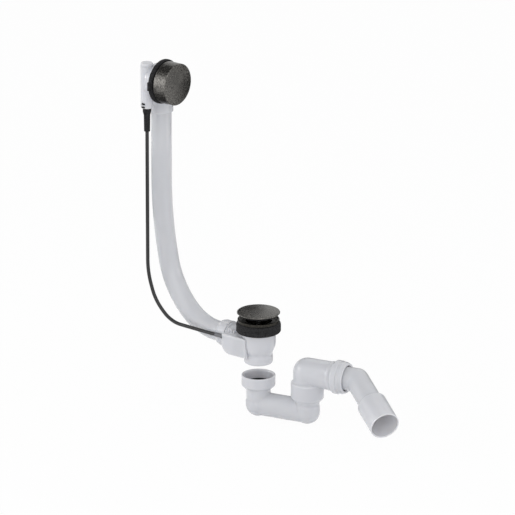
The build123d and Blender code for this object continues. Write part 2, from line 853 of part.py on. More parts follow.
# White overflow body: barrel, column with the pipe socket, gear box and cable housing
barrel_bore_end = barrel_back + partition_thickness
gear_front = barrel_back - slip_fit
lid_face = drive_x - gearbox_back
lid_radius = pinion_radius + gear_module + 2 * gear_room
seal_groove_z = column_bottom + pipe_socket_depth / 3
with BuildPart() as overflow_body:
    with BuildSketch(Plane.YZ.offset(barrel_back)):
        with Locations((-knob_offset, knob_height)):
            Circle(barrel_radius)
    extrude(amount=barrel_depth)
    with BuildSketch(Plane.YZ.offset(head_front - barrel_rim_thickness)):
        with Locations((-knob_offset, knob_height)):
            Circle(barrel_rim_radius)
    extrude(amount=barrel_rim_thickness)
    with BuildSketch(column_plane):
        with BuildLine():
            round_start = column_radius - column_round
            Polyline(
                (round_start, column_top),
                (0, column_top),
                (0, column_bottom),
                (column_radius, column_bottom),
                (column_radius, column_top - column_round),
            )
            ThreePointArc(
                (column_radius, column_top - column_round),
                (round_start + column_round * sin(pi / 4), column_top - column_round * (1 - sin(pi / 4))),
                (round_start, column_top),
            )
        make_face()
    revolve(axis=column_axis)
    split(bisect_by=Plane.YZ.offset(head_front), keep=Keep.BOTTOM)
    with BuildSketch(Plane.YZ.offset(head_front)):
        with Locations((-knob_offset, knob_height)):
            Circle(barrel_bore)
    extrude(amount=-(barrel_depth - partition_thickness), mode=Mode.SUBTRACT)
    with BuildSketch(Plane.XY.offset(column_top - column_roof)):
        with Locations((drive_x, 0)):
            Circle(column_bore)
    extrude(amount=-(column_top - column_roof - column_bottom), mode=Mode.SUBTRACT)
    with BuildSketch(Plane.XY.offset(column_bottom)):
        with Locations((drive_x, 0)):
            Circle(pipe_radius + slip_fit)
    extrude(amount=pipe_socket_depth, mode=Mode.SUBTRACT)
    with BuildSketch(Plane.XY.offset(seal_groove_z)):
        with Locations((drive_x, 0)):
            Circle(pipe_radius + seal_groove)
    extrude(amount=seal_width, mode=Mode.SUBTRACT)
    with BuildSketch(Plane.XY.offset(housing_bottom)):
        with Locations((drive_x, -housing_offset)):
            Circle(housing_radius)
    extrude(amount=housing_top - housing_bottom)
    with Locations((lid_face, -housing_offset, gearbox_bottom)):
        Box(
            barrel_back + partition_thickness - lid_face,
            housing_offset - gearbox_side,
            gearbox_top - gearbox_bottom,
            align=(Align.MIN, Align.MIN, Align.MIN),
        )
    for side in (1, -1):
        with BuildSketch(Plane.YZ.offset(barrel_bore_end)):
            with Locations((-knob_offset, knob_height + side * screw_circle)):
                Circle(screw_boss_radius)
                Circle(screw_radius + thread_gap, mode=Mode.SUBTRACT)
        extrude(amount=seat_x - barrel_bore_end)
    with BuildSketch(Plane.YZ.offset(gear_front)):
        with Locations((-knob_offset, knob_height)):
            Circle(pinion_radius + gear_module + gear_room)
    extrude(amount=-(gear_front - lid_face), mode=Mode.SUBTRACT)
    with BuildSketch(Plane.YZ.offset(lid_face)):
        with Locations((-knob_offset, knob_height)):
            Circle(lid_radius)
    extrude(amount=gearbox_lid_thickness, mode=Mode.SUBTRACT)
    with BuildSketch(Plane.YZ.offset(lid_face)):
        with Locations((-knob_offset, knob_height)):
            Circle(spindle_radius + running_fit)
    extrude(amount=barrel_bore_end - lid_face, mode=Mode.SUBTRACT)
    rack_cavity_y = (-housing_offset - rack_back - rack_room, rack_tip_y + rack_room)
    with Locations((drive_x, rack_cavity_y[0], housing_bottom + housing_floor)):
        Box(
            rack_width + 2 * rack_room,
            rack_cavity_y[1] - rack_cavity_y[0],
            housing_top - housing_bottom - housing_floor,
            align=(Align.CENTER, Align.MIN, Align.MIN),
            mode=Mode.SUBTRACT,
        )
    with BuildSketch(Plane.XY.offset(housing_bottom)):
        with Locations((drive_x, -housing_offset)):
            Circle(core_radius + 2 * core_room)
    extrude(amount=housing_floor, mode=Mode.SUBTRACT)
    with BuildSketch(Plane.XY.offset(housing_bottom)):
        with Locations((drive_x, -housing_offset)):
            Circle(boot_plug_radius + thread_gap)
    extrude(amount=boot_plug_height + thread_gap, mode=Mode.SUBTRACT)
    with BuildSketch(Plane.XY.offset(housing_top)):
        with Locations((drive_x, -housing_offset)):
            Circle(housing_radius + thread_gap)
    extrude(amount=housing_cap_height, mode=Mode.SUBTRACT)
    for level in clip_slot_levels:
        with Locations((drive_x, -housing_offset - housing_radius, housing_bottom + level)):
            Box(clip_slot_width, 2 * clip_slot_depth, clip_slot_height, mode=Mode.SUBTRACT)
overflow_body.part.label = "overflow_body"
export_step(overflow_body.part, "parts/overflow_body.step")

with BuildPart() as pipe_upper_seal:
    with BuildSketch(Plane.XY.offset(seal_groove_z)):
        with Locations((drive_x, 0)):
            Circle(pipe_radius + seal_groove - thread_gap)
            Circle(pipe_radius + thread_gap, mode=Mode.SUBTRACT)
    extrude(amount=seal_width)
pipe_upper_seal.part.label = "pipe_upper_seal"
export_step(pipe_upper_seal.part, "parts/pipe_upper_seal.step")

with BuildPart() as housing_cap:
    with BuildSketch(Plane.XY.offset(housing_top)):
        with Locations((drive_x, -housing_offset)):
            Circle(housing_radius)
    extrude(amount=housing_cap_height)
    fillet(housing_cap.edges().group_by(Axis.Z)[-1], housing_cap_round)
    with BuildSketch(Plane.XY.offset(housing_top)):
        with Locations((drive_x, -housing_offset)):
            Rectangle(rack_width, 2 * rack_back)
    extrude(amount=-seal_width)
housing_cap.part.label = "housing_cap"
export_step(housing_cap.part, "parts/housing_cap.step")

# Overflow gasket with its side lug
with BuildPart() as overflow_gasket:
    with BuildSketch(knob_plane):
        with BuildLine():
            lip_radius = head_gasket_radius - lug_reach / 2
            Polyline(
                (head_front, head_gasket_bore),
                (head_front, lip_radius),
                (head_front + lug_reach / 2, head_gasket_radius),
                (seat_x - lug_reach, head_gasket_radius),
            )
            ThreePointArc(
                (seat_x - lug_reach, head_gasket_radius),
                (seat_x - lug_reach * (1 - sin(pi / 4)), head_gasket_radius - lug_reach * (1 - sin(pi / 4))),
                (seat_x, head_gasket_radius - lug_reach),
            )
            Polyline(
                (seat_x, head_gasket_radius - lug_reach),
                (seat_x, head_gasket_bore),
                (head_front, head_gasket_bore),
            )
        make_face()
    revolve(axis=knob_axis)
    with Locations((seat_x - lug_reach / 2, -knob_offset - head_gasket_radius - lug_reach, knob_height)):
        Box(
            lug_thickness,
            2 * lug_reach,
            lug_height,
            align=(Align.MAX, Align.MIN, Align.CENTER),
        )
overflow_gasket.part.label = "overflow_gasket"
export_step(overflow_gasket.part, "parts/overflow_gasket.step")

# Faceplate with its water slots, and its two screws
plate_front = seat_x + plate_thickness
with BuildPart() as overflow_faceplate:
    with BuildSketch(Plane.YZ.offset(seat_x)):
        with Locations((-knob_offset, knob_height)):
            Circle(plate_radius)
            with PolarLocations(screw_circle, plate_slot_count, start_angle=180 / plate_slot_count):
                SlotCenterToCenter(plate_slot_length, plate_slot_width, rotation=90, mode=Mode.SUBTRACT)
            with PolarLocations(screw_circle, 2, start_angle=90):
                Circle(screw_radius + thread_gap, mode=Mode.SUBTRACT)
    extrude(amount=plate_thickness)
    with BuildSketch(Plane.YZ.offset(plate_front)):
        with Locations((-knob_offset, knob_height)):
            Circle(plate_hub_radius)
    extrude(amount=plate_hub_height)
    with BuildSketch(Plane.YZ.offset(seat_x)):
        with Locations((-knob_offset, knob_height)):
            Circle(spindle_radius + running_fit)
    extrude(amount=plate_thickness + plate_hub_height, mode=Mode.SUBTRACT)
overflow_faceplate.part.label = "overflow_faceplate"
export_step(overflow_faceplate.part, "parts/overflow_faceplate.step")

with BuildPart() as faceplate_screws:
    with BuildSketch(Plane.YZ.offset(plate_front)):
        with Locations((-knob_offset, knob_height)):
            with PolarLocations(screw_circle, 2, start_angle=90):
                Circle(screw_radius)
    extrude(amount=-screw_length)
    with BuildSketch(Plane.YZ.offset(plate_front)):
        with Locations((-knob_offset, knob_height)):
            with PolarLocations(screw_circle, 2, start_angle=90):
                Circle(screw_head_radius)
    extrude(amount=screw_head_height)
    with BuildSketch(Plane.YZ.offset(plate_front + screw_head_height)):
        with Locations((-knob_offset, knob_height)):
            with PolarLocations(screw_circle, 2, start_angle=90):
                Rectangle(2 * screw_head_radius, screw_head_height / 3)
    extrude(amount=-screw_head_height / 2, mode=Mode.SUBTRACT)
faceplate_screws.part.label = "faceplate_screws"
export_step(faceplate_screws.part, "parts/faceplate_screws.step")

# Knob: a turned cup with a hub, and the screw that grips the spindle
knob_inside = knob_face - knob_face_thickness
hub_back = knob_inside - knob_hub_length
spindle_front = hub_back + spindle_socket
grub_x = hub_back + knob_hub_length / 3
with BuildPart() as rotary_knob:
    revolve(
        outline(
            knob_plane,
            (knob_face, 0),
            (knob_face, knob_radius - knob_chamfer),
            (knob_face - knob_chamfer, knob_radius),
            (knob_rear, knob_radius),
            (knob_rear, knob_radius - knob_wall),
            (knob_inside, knob_radius - knob_wall),
            (knob_inside, knob_hub_radius),
            (hub_back, knob_hub_radius),
            (hub_back, spindle_radius + thread_gap),
            (spindle_front, spindle_radius + thread_gap),
            (spindle_front, 0),
        ),
        axis=knob_axis,
    )
    with BuildSketch(Plane.XY.offset(knob_height)):
        with Locations((grub_x, -knob_offset)):
            Circle(grub_radius + thread_gap)
    extrude(amount=-knob_radius - knob_wall, mode=Mode.SUBTRACT)
rotary_knob.part.label = "rotary_knob"
export_step(rotary_knob.part, "parts/rotary_knob.step")

with BuildPart() as knob_grub_screw:
    with BuildSketch(Plane.XY.offset(knob_height - spindle_radius - thread_gap)):
        with Locations((grub_x, -knob_offset)):
            Circle(grub_radius)
    extrude(amount=-(knob_hub_radius - spindle_radius))
    with BuildSketch(Plane.XY.offset(knob_height - knob_hub_radius - thread_gap)):
        with Locations((grub_x, -knob_offset)):
            RegularPolygon(grub_radius / 2, 6)
    extrude(amount=grub_radius, mode=Mode.SUBTRACT)
knob_grub_screw.part.label = "knob_grub_screw"
export_step(knob_grub_screw.part, "parts/knob_grub_screw.step")

# Spindle from the knob to the gear box, and the pinion on it
lid_inside = lid_face + gearbox_lid_thickness
spindle_back = lid_inside - lid_bearing_depth
with BuildPart() as drive_spindle:
    with BuildSketch(Plane.YZ.offset(spindle_back + running_fit)):
        with Locations((-knob_offset, knob_height)):
            Circle(spindle_radius)
    extrude(amount=spindle_front - spindle_back - 2 * running_fit)
drive_spindle.part.label = "drive_spindle"
export_step(drive_spindle.part, "parts/drive_spindle.step")

with BuildPart() as gearbox_lid:
    with BuildSketch(Plane.YZ.offset(lid_face)):
        with Locations((-knob_offset, knob_height)):
            Circle(lid_radius - running_fit)
    extrude(amount=gearbox_lid_thickness)
    with BuildSketch(Plane.YZ.offset(lid_inside)):
        with Locations((-knob_offset, knob_height)):
            Circle(spindle_radius + running_fit)
    extrude(amount=-lid_bearing_depth, mode=Mode.SUBTRACT)
gearbox_lid.part.label = "gearbox_lid"
export_step(gearbox_lid.part, "parts/gearbox_lid.step")

with BuildPart() as drive_pinion:
    with BuildSketch(Plane.YZ.offset(drive_x - gear_width / 2)):
        with Locations((-knob_offset, knob_height)):
            with BuildLine(mode=Mode.PRIVATE) as teeth:
                Polyline(*pinion_outline(), close=True)
            add(make_face(teeth.line, mode=Mode.PRIVATE))
            Circle(spindle_radius + thread_gap, mode=Mode.SUBTRACT)
    extrude(amount=gear_width)
drive_pinion.part.label = "drive_pinion"
export_step(drive_pinion.part, "parts/drive_pinion.step")

# Rack in the cable housing, with the top of the cable's core
sheath_top = housing_bottom - boot_length + sheath_insert
core_foot = sheath_top + cable_travel + core_room
with BuildPart() as drive_rack:
    extrude(outline(Plane.YZ.offset(drive_x - rack_width / 2), *rack_outline()), amount=rack_width)
    with BuildSketch(Plane.XY.offset(core_foot)):
        with Locations((drive_x, -housing_offset)):
            Circle(core_radius)
    extrude(amount=rack_bottom - core_foot)
drive_rack.part.label = "drive_rack"
export_step(drive_rack.part, "parts/drive_rack.step")

# Boot under the housing and the cable's outer sheath
with BuildPart() as cable_boot:
    boot_plane = Plane(origin=(drive_x, -housing_offset, housing_bottom), x_dir=(1, 0, 0), z_dir=(0, -1, 0))
    revolve(
        outline(
            boot_plane,
            (core_radius + 2 * core_room, boot_plug_height),
            (boot_plug_radius, boot_plug_height),
            (boot_plug_radius, 0),
            (boot_radius, 0),
            (boot_radius, -boot_collar_length / 2),
            (boot_neck_radius, -boot_collar_length),
            (boot_tip_radius, -boot_length),
            (cable_radius + thread_gap, -boot_length),
            (cable_radius + thread_gap, sheath_insert - boot_length),
            (core_radius + 2 * core_room, sheath_insert - boot_length),
        ),
        axis=Axis(boot_plane.origin, (0, 0, 1)),
    )
cable_boot.part.label = "cable_boot"
export_step(cable_boot.part, "parts/cable_boot.step")

cable_route = (
    (drive_x, -housing_offset, sheath_top),
    (drive_x, -housing_offset, 52),
    (-194.5, -31, 2.5),
    (-164, -27.5, -29.3),
    (-88, -cable_offset, cable_z),
    (-ferrule_reach, -cable_offset, cable_z),
)
corners = [Vector(*point) for point in cable_route]
cable_bends = []
for before, corner, after in zip(corners, corners[1:], corners[2:]):
    half_turn = radians((corner - before).get_angle(after - corner)) / 2
    shorter_run = min((corner - before).length, (after - corner).length)
    cable_bends.append(cable_bend_share * shorter_run / tan(half_turn))
print("cable bend radii:", [round(bend, 1) for bend in cable_bends])
with BuildPart() as cable_sheath:
    with BuildLine() as cable_line:
        FilletPolyline(*cable_route, radius=cable_bends)
    with BuildSketch(Plane(origin=cable_route[0], x_dir=(1, 0, 0), z_dir=(0, 0, -1))):
        Circle(cable_radius)
    sweep()
cable_length = sum(edge.length for edge in cable_line.edges())
print("cable length:", round(cable_length, 1))
print("section x length:", round(pi * cable_radius**2 * cable_length), round(cable_sheath.part.volume))
cable_sheath.part.label = "cable_sheath"
export_step(cable_sheath.part, "parts/cable_sheath.step")

# Inlet nut of the trap, and its washer
inlet_lip_z = leg_top - trap_rim - thread_gap
with BuildPart() as trap_inlet_nut:
    trap_nut_foot = trap_top - trap_nut_straight - trap_nut_chamfer
    revolve(
        outline(
            Plane.XZ,
            (trap_nut_bore, trap_top),
            (trap_nut_radius - trap_nut_edge, trap_top),
            (trap_nut_radius, trap_top - trap_nut_edge),
            (trap_nut_radius, trap_top - trap_nut_straight),
            (trap_nut_radius - trap_nut_chamfer, trap_nut_foot),
            (leg_radius + slip_fit, trap_nut_foot),
            (leg_radius + slip_fit, inlet_lip_z),
            (trap_nut_bore, inlet_lip_z),
        ),
        axis=waste_axis,
    )
trap_inlet_nut.part.label = "trap_inlet_nut"
export_step(trap_inlet_nut.part, "parts/trap_inlet_nut.step")

with BuildPart() as trap_inlet_seal:
    with BuildSketch(Plane.XY.offset(leg_top)):
        Circle(trap_nut_bore - thread_gap)
        Circle(trap_seal_bore, mode=Mode.SUBTRACT)
    extrude(amount=trap_seal_thickness)
trap_inlet_seal.part.label = "trap_inlet_seal"
export_step(trap_inlet_seal.part, "parts/trap_inlet_seal.step")

# Base of the trap: inlet leg, low tube and riser in one moulding
riser_top = elbow_z - riser_stop - thread_gap
shoulder_z = bell_foot - bell_seat_gap
low_tube_plane = Plane(origin=(0, 0, low_tube_z), z_dir=run)
leg_foot = (0, 0, low_tube_z)
with BuildPart() as trap_base:
    revolve(
        outline(
            Plane.XZ,
            (0, leg_top),
            (leg_rim_radius, leg_top),
            (leg_rim_radius, leg_top - trap_rim),
            (leg_radius, leg_top - trap_rim),
            (leg_radius, low_tube_z + leg_collar),
            (leg_corner_radius, low_tube_z + leg_collar - corner_taper),
            (leg_corner_radius, low_tube_z),
            (0, low_tube_z),
        ),
        axis=waste_axis,
    )
    revolve(
        outline(
            riser_plane,
            (0, riser_top),
            (riser_radius, riser_top),
            (riser_radius, shoulder_z),
            (riser_shoulder_radius, shoulder_z),
            (riser_radius, shoulder_z - riser_shoulder_height),
            (riser_radius, low_tube_z + corner_collar),
            (corner_radius, low_tube_z + corner_collar - corner_taper),
            (corner_radius, low_tube_z),
            (0, low_tube_z),
        ),
        axis=riser_axis,
    )
    with BuildSketch(low_tube_plane):
        Circle(low_tube_radius)
    extrude(amount=trap_span)
    with Locations(leg_foot):
        Sphere(leg_corner_radius)
    with Locations(riser_foot):
        Sphere(corner_radius)
    with BuildSketch(Plane.XY.offset(low_tube_z)):
        Circle(leg_radius - trap_wall)
    extrude(amount=leg_top - low_tube_z, mode=Mode.SUBTRACT)
    with BuildSketch(Plane.XY.offset(low_tube_z)):
        with Locations((riser_foot.X, riser_foot.Y)):
            Circle(riser_radius - trap_wall)
    extrude(amount=riser_top - low_tube_z, mode=Mode.SUBTRACT)
    with BuildSketch(low_tube_plane):
        Circle(low_tube_radius - trap_wall)
    extrude(amount=trap_span, mode=Mode.SUBTRACT)
    with Locations(leg_foot):
        Sphere(leg_corner_radius - trap_wall, mode=Mode.SUBTRACT)
    with Locations(riser_foot):
        Sphere(corner_radius - trap_wall, mode=Mode.SUBTRACT)
trap_base.part.label = "trap_base"
export_step(trap_base.part, "parts/trap_base.step")

# Seal in the elbow's bell, round the riser
riser_seal_foot = elbow_z - riser_seal_drop - riser_seal_height
with BuildPart() as riser_seal:
    with BuildSketch(Plane.XY.offset(riser_seal_foot)):
        with Locations((riser_foot.X, riser_foot.Y)):
            Circle(riser_radius + riser_seal_depth)
            Circle(riser_radius + slip_fit, mode=Mode.SUBTRACT)
    extrude(amount=riser_seal_height)
riser_seal.part.label = "riser_seal"
export_step(riser_seal.part, "parts/riser_seal.step")

# Upper elbow, with a bell that fits over the riser and a thread for the outlet's nut
run_tube_plane = Plane(origin=elbow_centre, z_dir=run)
elbow_bore = elbow_radius - elbow_wall
with BuildPart() as trap_elbow:
    revolve(
        outline(
            riser_plane,
            (0, elbow_z),
            (elbow_radius, elbow_z),
            (elbow_radius, bell_z + bell_shoulder),
            (bell_radius, bell_z),
            (bell_radius, bell_z - bell_length),
            (bell_mouth_radius, bell_foot),
            (0, bell_foot),
        ),
        axis=riser_axis,
    )
    with Locations(elbow_centre):
        Sphere(elbow_radius)
    with BuildSketch(run_tube_plane):
        Circle(elbow_radius)
    extrude(amount=elbow_run)
    with BuildSketch(run_tube_plane.offset(elbow_collar_start)):
        Circle(elbow_thread_radius)
    extrude(amount=elbow_run - elbow_collar_start)
    revolve(
        outline(
            riser_plane,
            (0, elbow_z),
            (elbow_bore, elbow_z),
            (elbow_bore, elbow_z - riser_stop + riser_stop_width),
            (riser_radius - trap_wall, elbow_z - riser_stop + riser_stop_width),
            (riser_radius - trap_wall, elbow_z - riser_stop),
            (riser_radius + slip_fit, elbow_z - riser_stop),
            (riser_radius + slip_fit, riser_seal_foot + riser_seal_height),
            (riser_radius + riser_seal_depth, riser_seal_foot + riser_seal_height),
            (riser_radius + riser_seal_depth, riser_seal_foot),
            (riser_radius + slip_fit, riser_seal_foot),
            (riser_radius + slip_fit, bell_foot),
            (0, bell_foot),
        ),
        axis=riser_axis,
        mode=Mode.SUBTRACT,
    )
    with BuildSketch(run_tube_plane):
        Circle(elbow_bore)
    extrude(amount=elbow_run, mode=Mode.SUBTRACT)
    with Locations(elbow_centre):
        Sphere(elbow_bore, mode=Mode.SUBTRACT)
trap_elbow.part.label = "trap_elbow"
export_step(trap_elbow.part, "parts/trap_elbow.step")

# Outlet nut and its cone washer
outlet_nut_end = outlet_nut_start + outlet_nut_length
outlet_lip = elbow_run + outlet_seal_length + thread_gap
outlet_bore = elbow_thread_radius + thread_gap
with BuildPart() as outlet_nut:
    ring_start = outlet_nut_start + outlet_ring_inset
    revolve(
        outline(
            run_plane,
            (outlet_nut_start, outlet_bore),
            (outlet_nut_start, outlet_nut_barrel - outlet_nut_edge),
            (ring_start, outlet_nut_radius),
            (ring_start + outlet_ring_width, outlet_nut_radius),
            (ring_start + outlet_ring_width, outlet_nut_barrel),
            (outlet_nut_end - outlet_nut_taper, outlet_nut_barrel),
            (outlet_nut_end, outlet_nut_mouth),
            (outlet_nut_end, outlet_radius + outlet_mouth_gap),
            (outlet_lip, outlet_radius + outlet_mouth_gap),
            (outlet_lip, outlet_bore),
        ),
        axis=run_axis,
    )
outlet_nut.part.label = "outlet_nut"
export_step(outlet_nut.part, "parts/outlet_nut.step")

with BuildPart() as outlet_seal:
    revolve(
        outline(
            run_plane,
            (elbow_run, outlet_radius + slip_fit),
            (elbow_run, outlet_bore - thread_gap),
            (elbow_run + outlet_seal_length / 2, outlet_bore - thread_gap),
            (elbow_run + outlet_seal_length, outlet_radius + outlet_mouth_gap),
            (elbow_run + outlet_seal_length, outlet_radius + slip_fit),
        ),
        axis=run_axis,
    )
outlet_seal.part.label = "outlet_seal"
export_step(outlet_seal.part, "parts/outlet_seal.step")

# Outlet bend: plain tube, bend, and the wider pipe end
outlet_start = outlet_nut_end - outlet_insert
outlet_wide = outlet_neck + outlet_shoulder
outlet_end = outlet_wide + outlet_end_length
outlet_bore_radius = outlet_radius - outlet_wall
with BuildPart() as outlet_bend:
    with BuildSketch(run_tube_plane.offset(outlet_start)):
        Circle(outlet_radius)
    extrude(amount=outlet_corner - outlet_start)
    with Locations(bend_centre):
        Sphere(outlet_radius)
    revolve(
        outline(
            outlet_plane,
            (0, 0),
            (0, outlet_radius),
            (outlet_neck, outlet_radius),
            (outlet_wide, outlet_end_radius),
            (outlet_end, outlet_end_radius),
            (outlet_end, 0),
        ),
        axis=outlet_axis,
    )
    with BuildSketch(run_tube_plane.offset(outlet_start)):
        Circle(outlet_bore_radius)
    extrude(amount=outlet_corner - outlet_start, mode=Mode.SUBTRACT)
    with Locations(bend_centre):
        Sphere(outlet_bore_radius, mode=Mode.SUBTRACT)
    revolve(
        outline(
            outlet_plane,
            (0, 0),
            (0, outlet_bore_radius),
            (outlet_neck, outlet_bore_radius),
            (outlet_wide, outlet_end_radius - outlet_wall),
            (outlet_end, outlet_end_radius - outlet_wall),
            (outlet_end, 0),
        ),
        axis=outlet_axis,
        mode=Mode.SUBTRACT,
    )
outlet_bend.part.label = "outlet_bend"
export_step(outlet_bend.part, "parts/outlet_bend.step")
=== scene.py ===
"""Looks of a cable-operated bath waste and overflow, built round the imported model."""

import logging
import math
from dataclasses import dataclass, field
from enum import Enum

import bmesh
import bpy
from mathutils import Matrix, Vector


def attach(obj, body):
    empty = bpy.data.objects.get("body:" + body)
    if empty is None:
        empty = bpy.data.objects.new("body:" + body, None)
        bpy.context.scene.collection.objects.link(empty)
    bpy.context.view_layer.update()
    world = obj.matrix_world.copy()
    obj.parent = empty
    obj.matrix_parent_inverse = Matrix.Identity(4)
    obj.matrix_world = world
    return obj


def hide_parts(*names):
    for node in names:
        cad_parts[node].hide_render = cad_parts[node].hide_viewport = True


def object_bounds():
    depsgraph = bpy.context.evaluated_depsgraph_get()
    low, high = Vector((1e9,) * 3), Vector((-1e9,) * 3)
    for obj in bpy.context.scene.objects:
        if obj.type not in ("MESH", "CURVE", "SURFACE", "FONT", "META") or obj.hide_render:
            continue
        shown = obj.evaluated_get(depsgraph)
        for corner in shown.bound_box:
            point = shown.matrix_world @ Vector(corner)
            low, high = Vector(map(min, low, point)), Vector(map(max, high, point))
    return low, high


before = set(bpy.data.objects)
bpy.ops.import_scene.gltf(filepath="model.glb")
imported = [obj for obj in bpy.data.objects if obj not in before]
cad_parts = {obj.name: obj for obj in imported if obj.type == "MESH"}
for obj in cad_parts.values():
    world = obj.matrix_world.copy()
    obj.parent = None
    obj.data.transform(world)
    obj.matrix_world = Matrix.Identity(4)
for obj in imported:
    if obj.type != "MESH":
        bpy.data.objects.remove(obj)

logging.basicConfig(level=logging.INFO, format="%(message)s")
LOG = logging.getLogger("waste_and_overflow")

MM = 0.001
CAD_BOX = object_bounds()

CAMERA_WAY = (0.5851, -0.7427, 0.3256)
NOISE_SPAN = (0.3, 0.7)  # values that a noise texture really takes
LEAST_TURN = 0.02  # radians; a corner that turns less, or folds back nearer, stays as it is
ON_AXIS_MM = 1e-6
WELD_MM = 0.001

Pair = tuple[float, float]
Point = tuple[float, float, float]
Tree = bpy.types.NodeTree
Socket = bpy.types.NodeSocket
Node = bpy.types.Node
Material = bpy.types.Material
Object = bpy.types.Object
Corner = tuple[float, ...]


class Body(Enum):
    """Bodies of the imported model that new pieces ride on."""

    WASTE = "waste"
    KNOB = "knob"
    PLUG = "plug"
    TRAP_COUPLING = "trap_coupling"
    TRAP = "trap"
    ELBOW = "elbow"
    OUTLET = "outlet"


class Slot(Enum):
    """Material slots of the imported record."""

    WHITE_PLASTIC = "white_plastic"
    GUNMETAL = "gunmetal"
    BLACK_RUBBER = "black_rubber"


def linear(hex_colour: str) -> tuple[float, float, float, float]:
    """Turns an sRGB hex colour into linear RGBA.

    Args:
        hex_colour: Colour such as "#cdced2".

    Returns:
        Red, green, blue and alpha as linear values.
    """
    channels = [int(hex_colour[start:start + 2], 16) / 255 for start in (1, 3, 5)]
    straight = [c / 12.92 if c <= 0.04045 else ((c + 0.055) / 1.055) ** 2.4 for c in channels]
    return (straight[0], straight[1], straight[2], 1.0)


def per_metre(size_mm: float) -> float:
    """Pattern scale for coordinates in metres.

    Args:
        size_mm: Length in mm over which the pattern repeats about once.

    Returns:
        The scale.
    """
    return 1.0 / (size_mm * MM)


def add_node(tree: Tree, kind: str, settings: dict, links: dict) -> Node:
    """Adds one node with its settings and links.

    Args:
        tree: Node tree that gets the node.
        kind: Blender's name of the node type.
        settings: Values by input name or number, or by property name.
        links: Source sockets by input name or number.

    Returns:
        The new node.
    """
    node = tree.nodes.new(kind)
    for key, value in settings.items():
        if isinstance(key, int) or key in node.inputs:
            node.inputs[key].default_value = value
        else:
            setattr(node, key, value)
    for key, source in links.items():
        tree.links.new(source, node.inputs[key])
    return node


def noise(tree: Tree, place: Node, size_mm: float, detail: float, roughness: float) -> Socket:
    """Adds a noise pattern in the piece's own space.

    Args:
        tree: Node tree that gets it.
        place: Texture coordinates.
        size_mm: Size of the pattern's marks in mm.
        detail: Finer layers on top of the first.
        roughness: Strength of the finer layers.

    Returns:
        The pattern's value.
    """
    settings = {"Scale": per_metre(size_mm), "Detail": detail, "Roughness": roughness}
    pattern = add_node(tree, "ShaderNodeTexNoise", settings, {"Vector": place.outputs["Object"]})
    return pattern.outputs[0]


def stretched(tree: Tree, value: Socket, span: Pair, limits: Pair = (0.0, 1.0)) -> Socket:
    """Stretches a span of a pattern's values to the wanted limits.

    Args:
        tree: Node tree that gets the node.
        value: The pattern.
        span: Values of the pattern that reach the limits.
        limits: Lowest and highest result.

    Returns:
        The stretched value.
    """
    settings = {"From Min": span[0], "From Max": span[1], "To Min": limits[0], "To Max": limits[1]}
    return add_node(tree, "ShaderNodeMapRange", settings, {"Value": value}).outputs[0]


def blended(tree: Tree, share: Socket, first: str, second: str) -> Socket:
    """Blends two colours by a pattern.

    Args:
        tree: Node tree that gets the node.
        share: Pattern that is 0 at the first colour and 1 at the second.
        first: sRGB hex colour.
        second: sRGB hex colour.

    Returns:
        The blended colour.
    """
    settings = {"data_type": "RGBA", 6: linear(first), 7: linear(second)}
    return add_node(tree, "ShaderNodeMix", settings, {0: share}).outputs[2]


def relief(tree: Tree, height: Socket, depth_mm: float) -> Socket:
    """Turns a pattern into a bumpy surface.

    Args:
        tree: Node tree that gets the node.
        height: The pattern.
        depth_mm: Depth of its marks in mm.

    Returns:
        The surface's normal.
    """
    settings = {"Strength": 1.0, "Distance": depth_mm * MM}
    return add_node(tree, "ShaderNodeBump", settings, {"Height": height}).outputs[0]


def new_material(name: str) -> tuple[Material, Tree]:
    """Makes an empty node material.

    Args:
        name: Name of the real material.

    Returns:
        The material and its cleared node tree.
    """
    material = bpy.data.materials.new(name)
    material.use_nodes = True
    material.node_tree.nodes.clear()
    return material, material.node_tree


def close_material(tree: Tree, shader: Node) -> None:
    """Joins a shader to the material's output.

    Args:
        tree: Node tree of the material.
        shader: Node whose first output is the surface.
    """
    add_node(tree, "ShaderNodeOutputMaterial", {}, {"Surface": shader.outputs[0]})


@dataclass(frozen=True)
class MouldedPlastic:
    """Injection-moulded plastic: an even colour, faint flow clouds and a fine eroded grain."""

    name: str
    colour: str
    cloud_colour: str
    roughness: Pair
    cloud_mm: float = 34.0
    grain_mm: float = 1.4
    grain_depth_mm: float = 0.012
    ior: float = 1.49
    translucency: float = 0.9
    glow_radius_mm: float = 6.5
    glow_by_colour: tuple[float, float, float] = (1.0, 0.95, 0.9)

    def material(self) -> Material:
        """Builds the plastic's nodes.

        Returns:
            The finished material.
        """
        material, tree = new_material(self.name)
        place = add_node(tree, "ShaderNodeTexCoord", {}, {})
        clouds = noise(tree, place, self.cloud_mm, detail=3.0, roughness=0.5)
        # The real grain is about 0.1 mm, too fine for this frame, so it is drawn coarser.
        grain = noise(tree, place, self.grain_mm, detail=2.0, roughness=0.6)
        shader = add_node(
            tree, "ShaderNodeBsdfPrincipled",
            {
                "IOR": self.ior,
                "Subsurface Weight": self.translucency,
                "Subsurface Radius": self.glow_by_colour,
                "Subsurface Scale": self.glow_radius_mm * MM,
            },
            {
                "Base Color": blended(tree, clouds, self.colour, self.cloud_colour),
                "Roughness": stretched(tree, grain, NOISE_SPAN, self.roughness),
                "Normal": relief(tree, grain, self.grain_depth_mm),
            },
        )
        close_material(tree, shader)
        return material


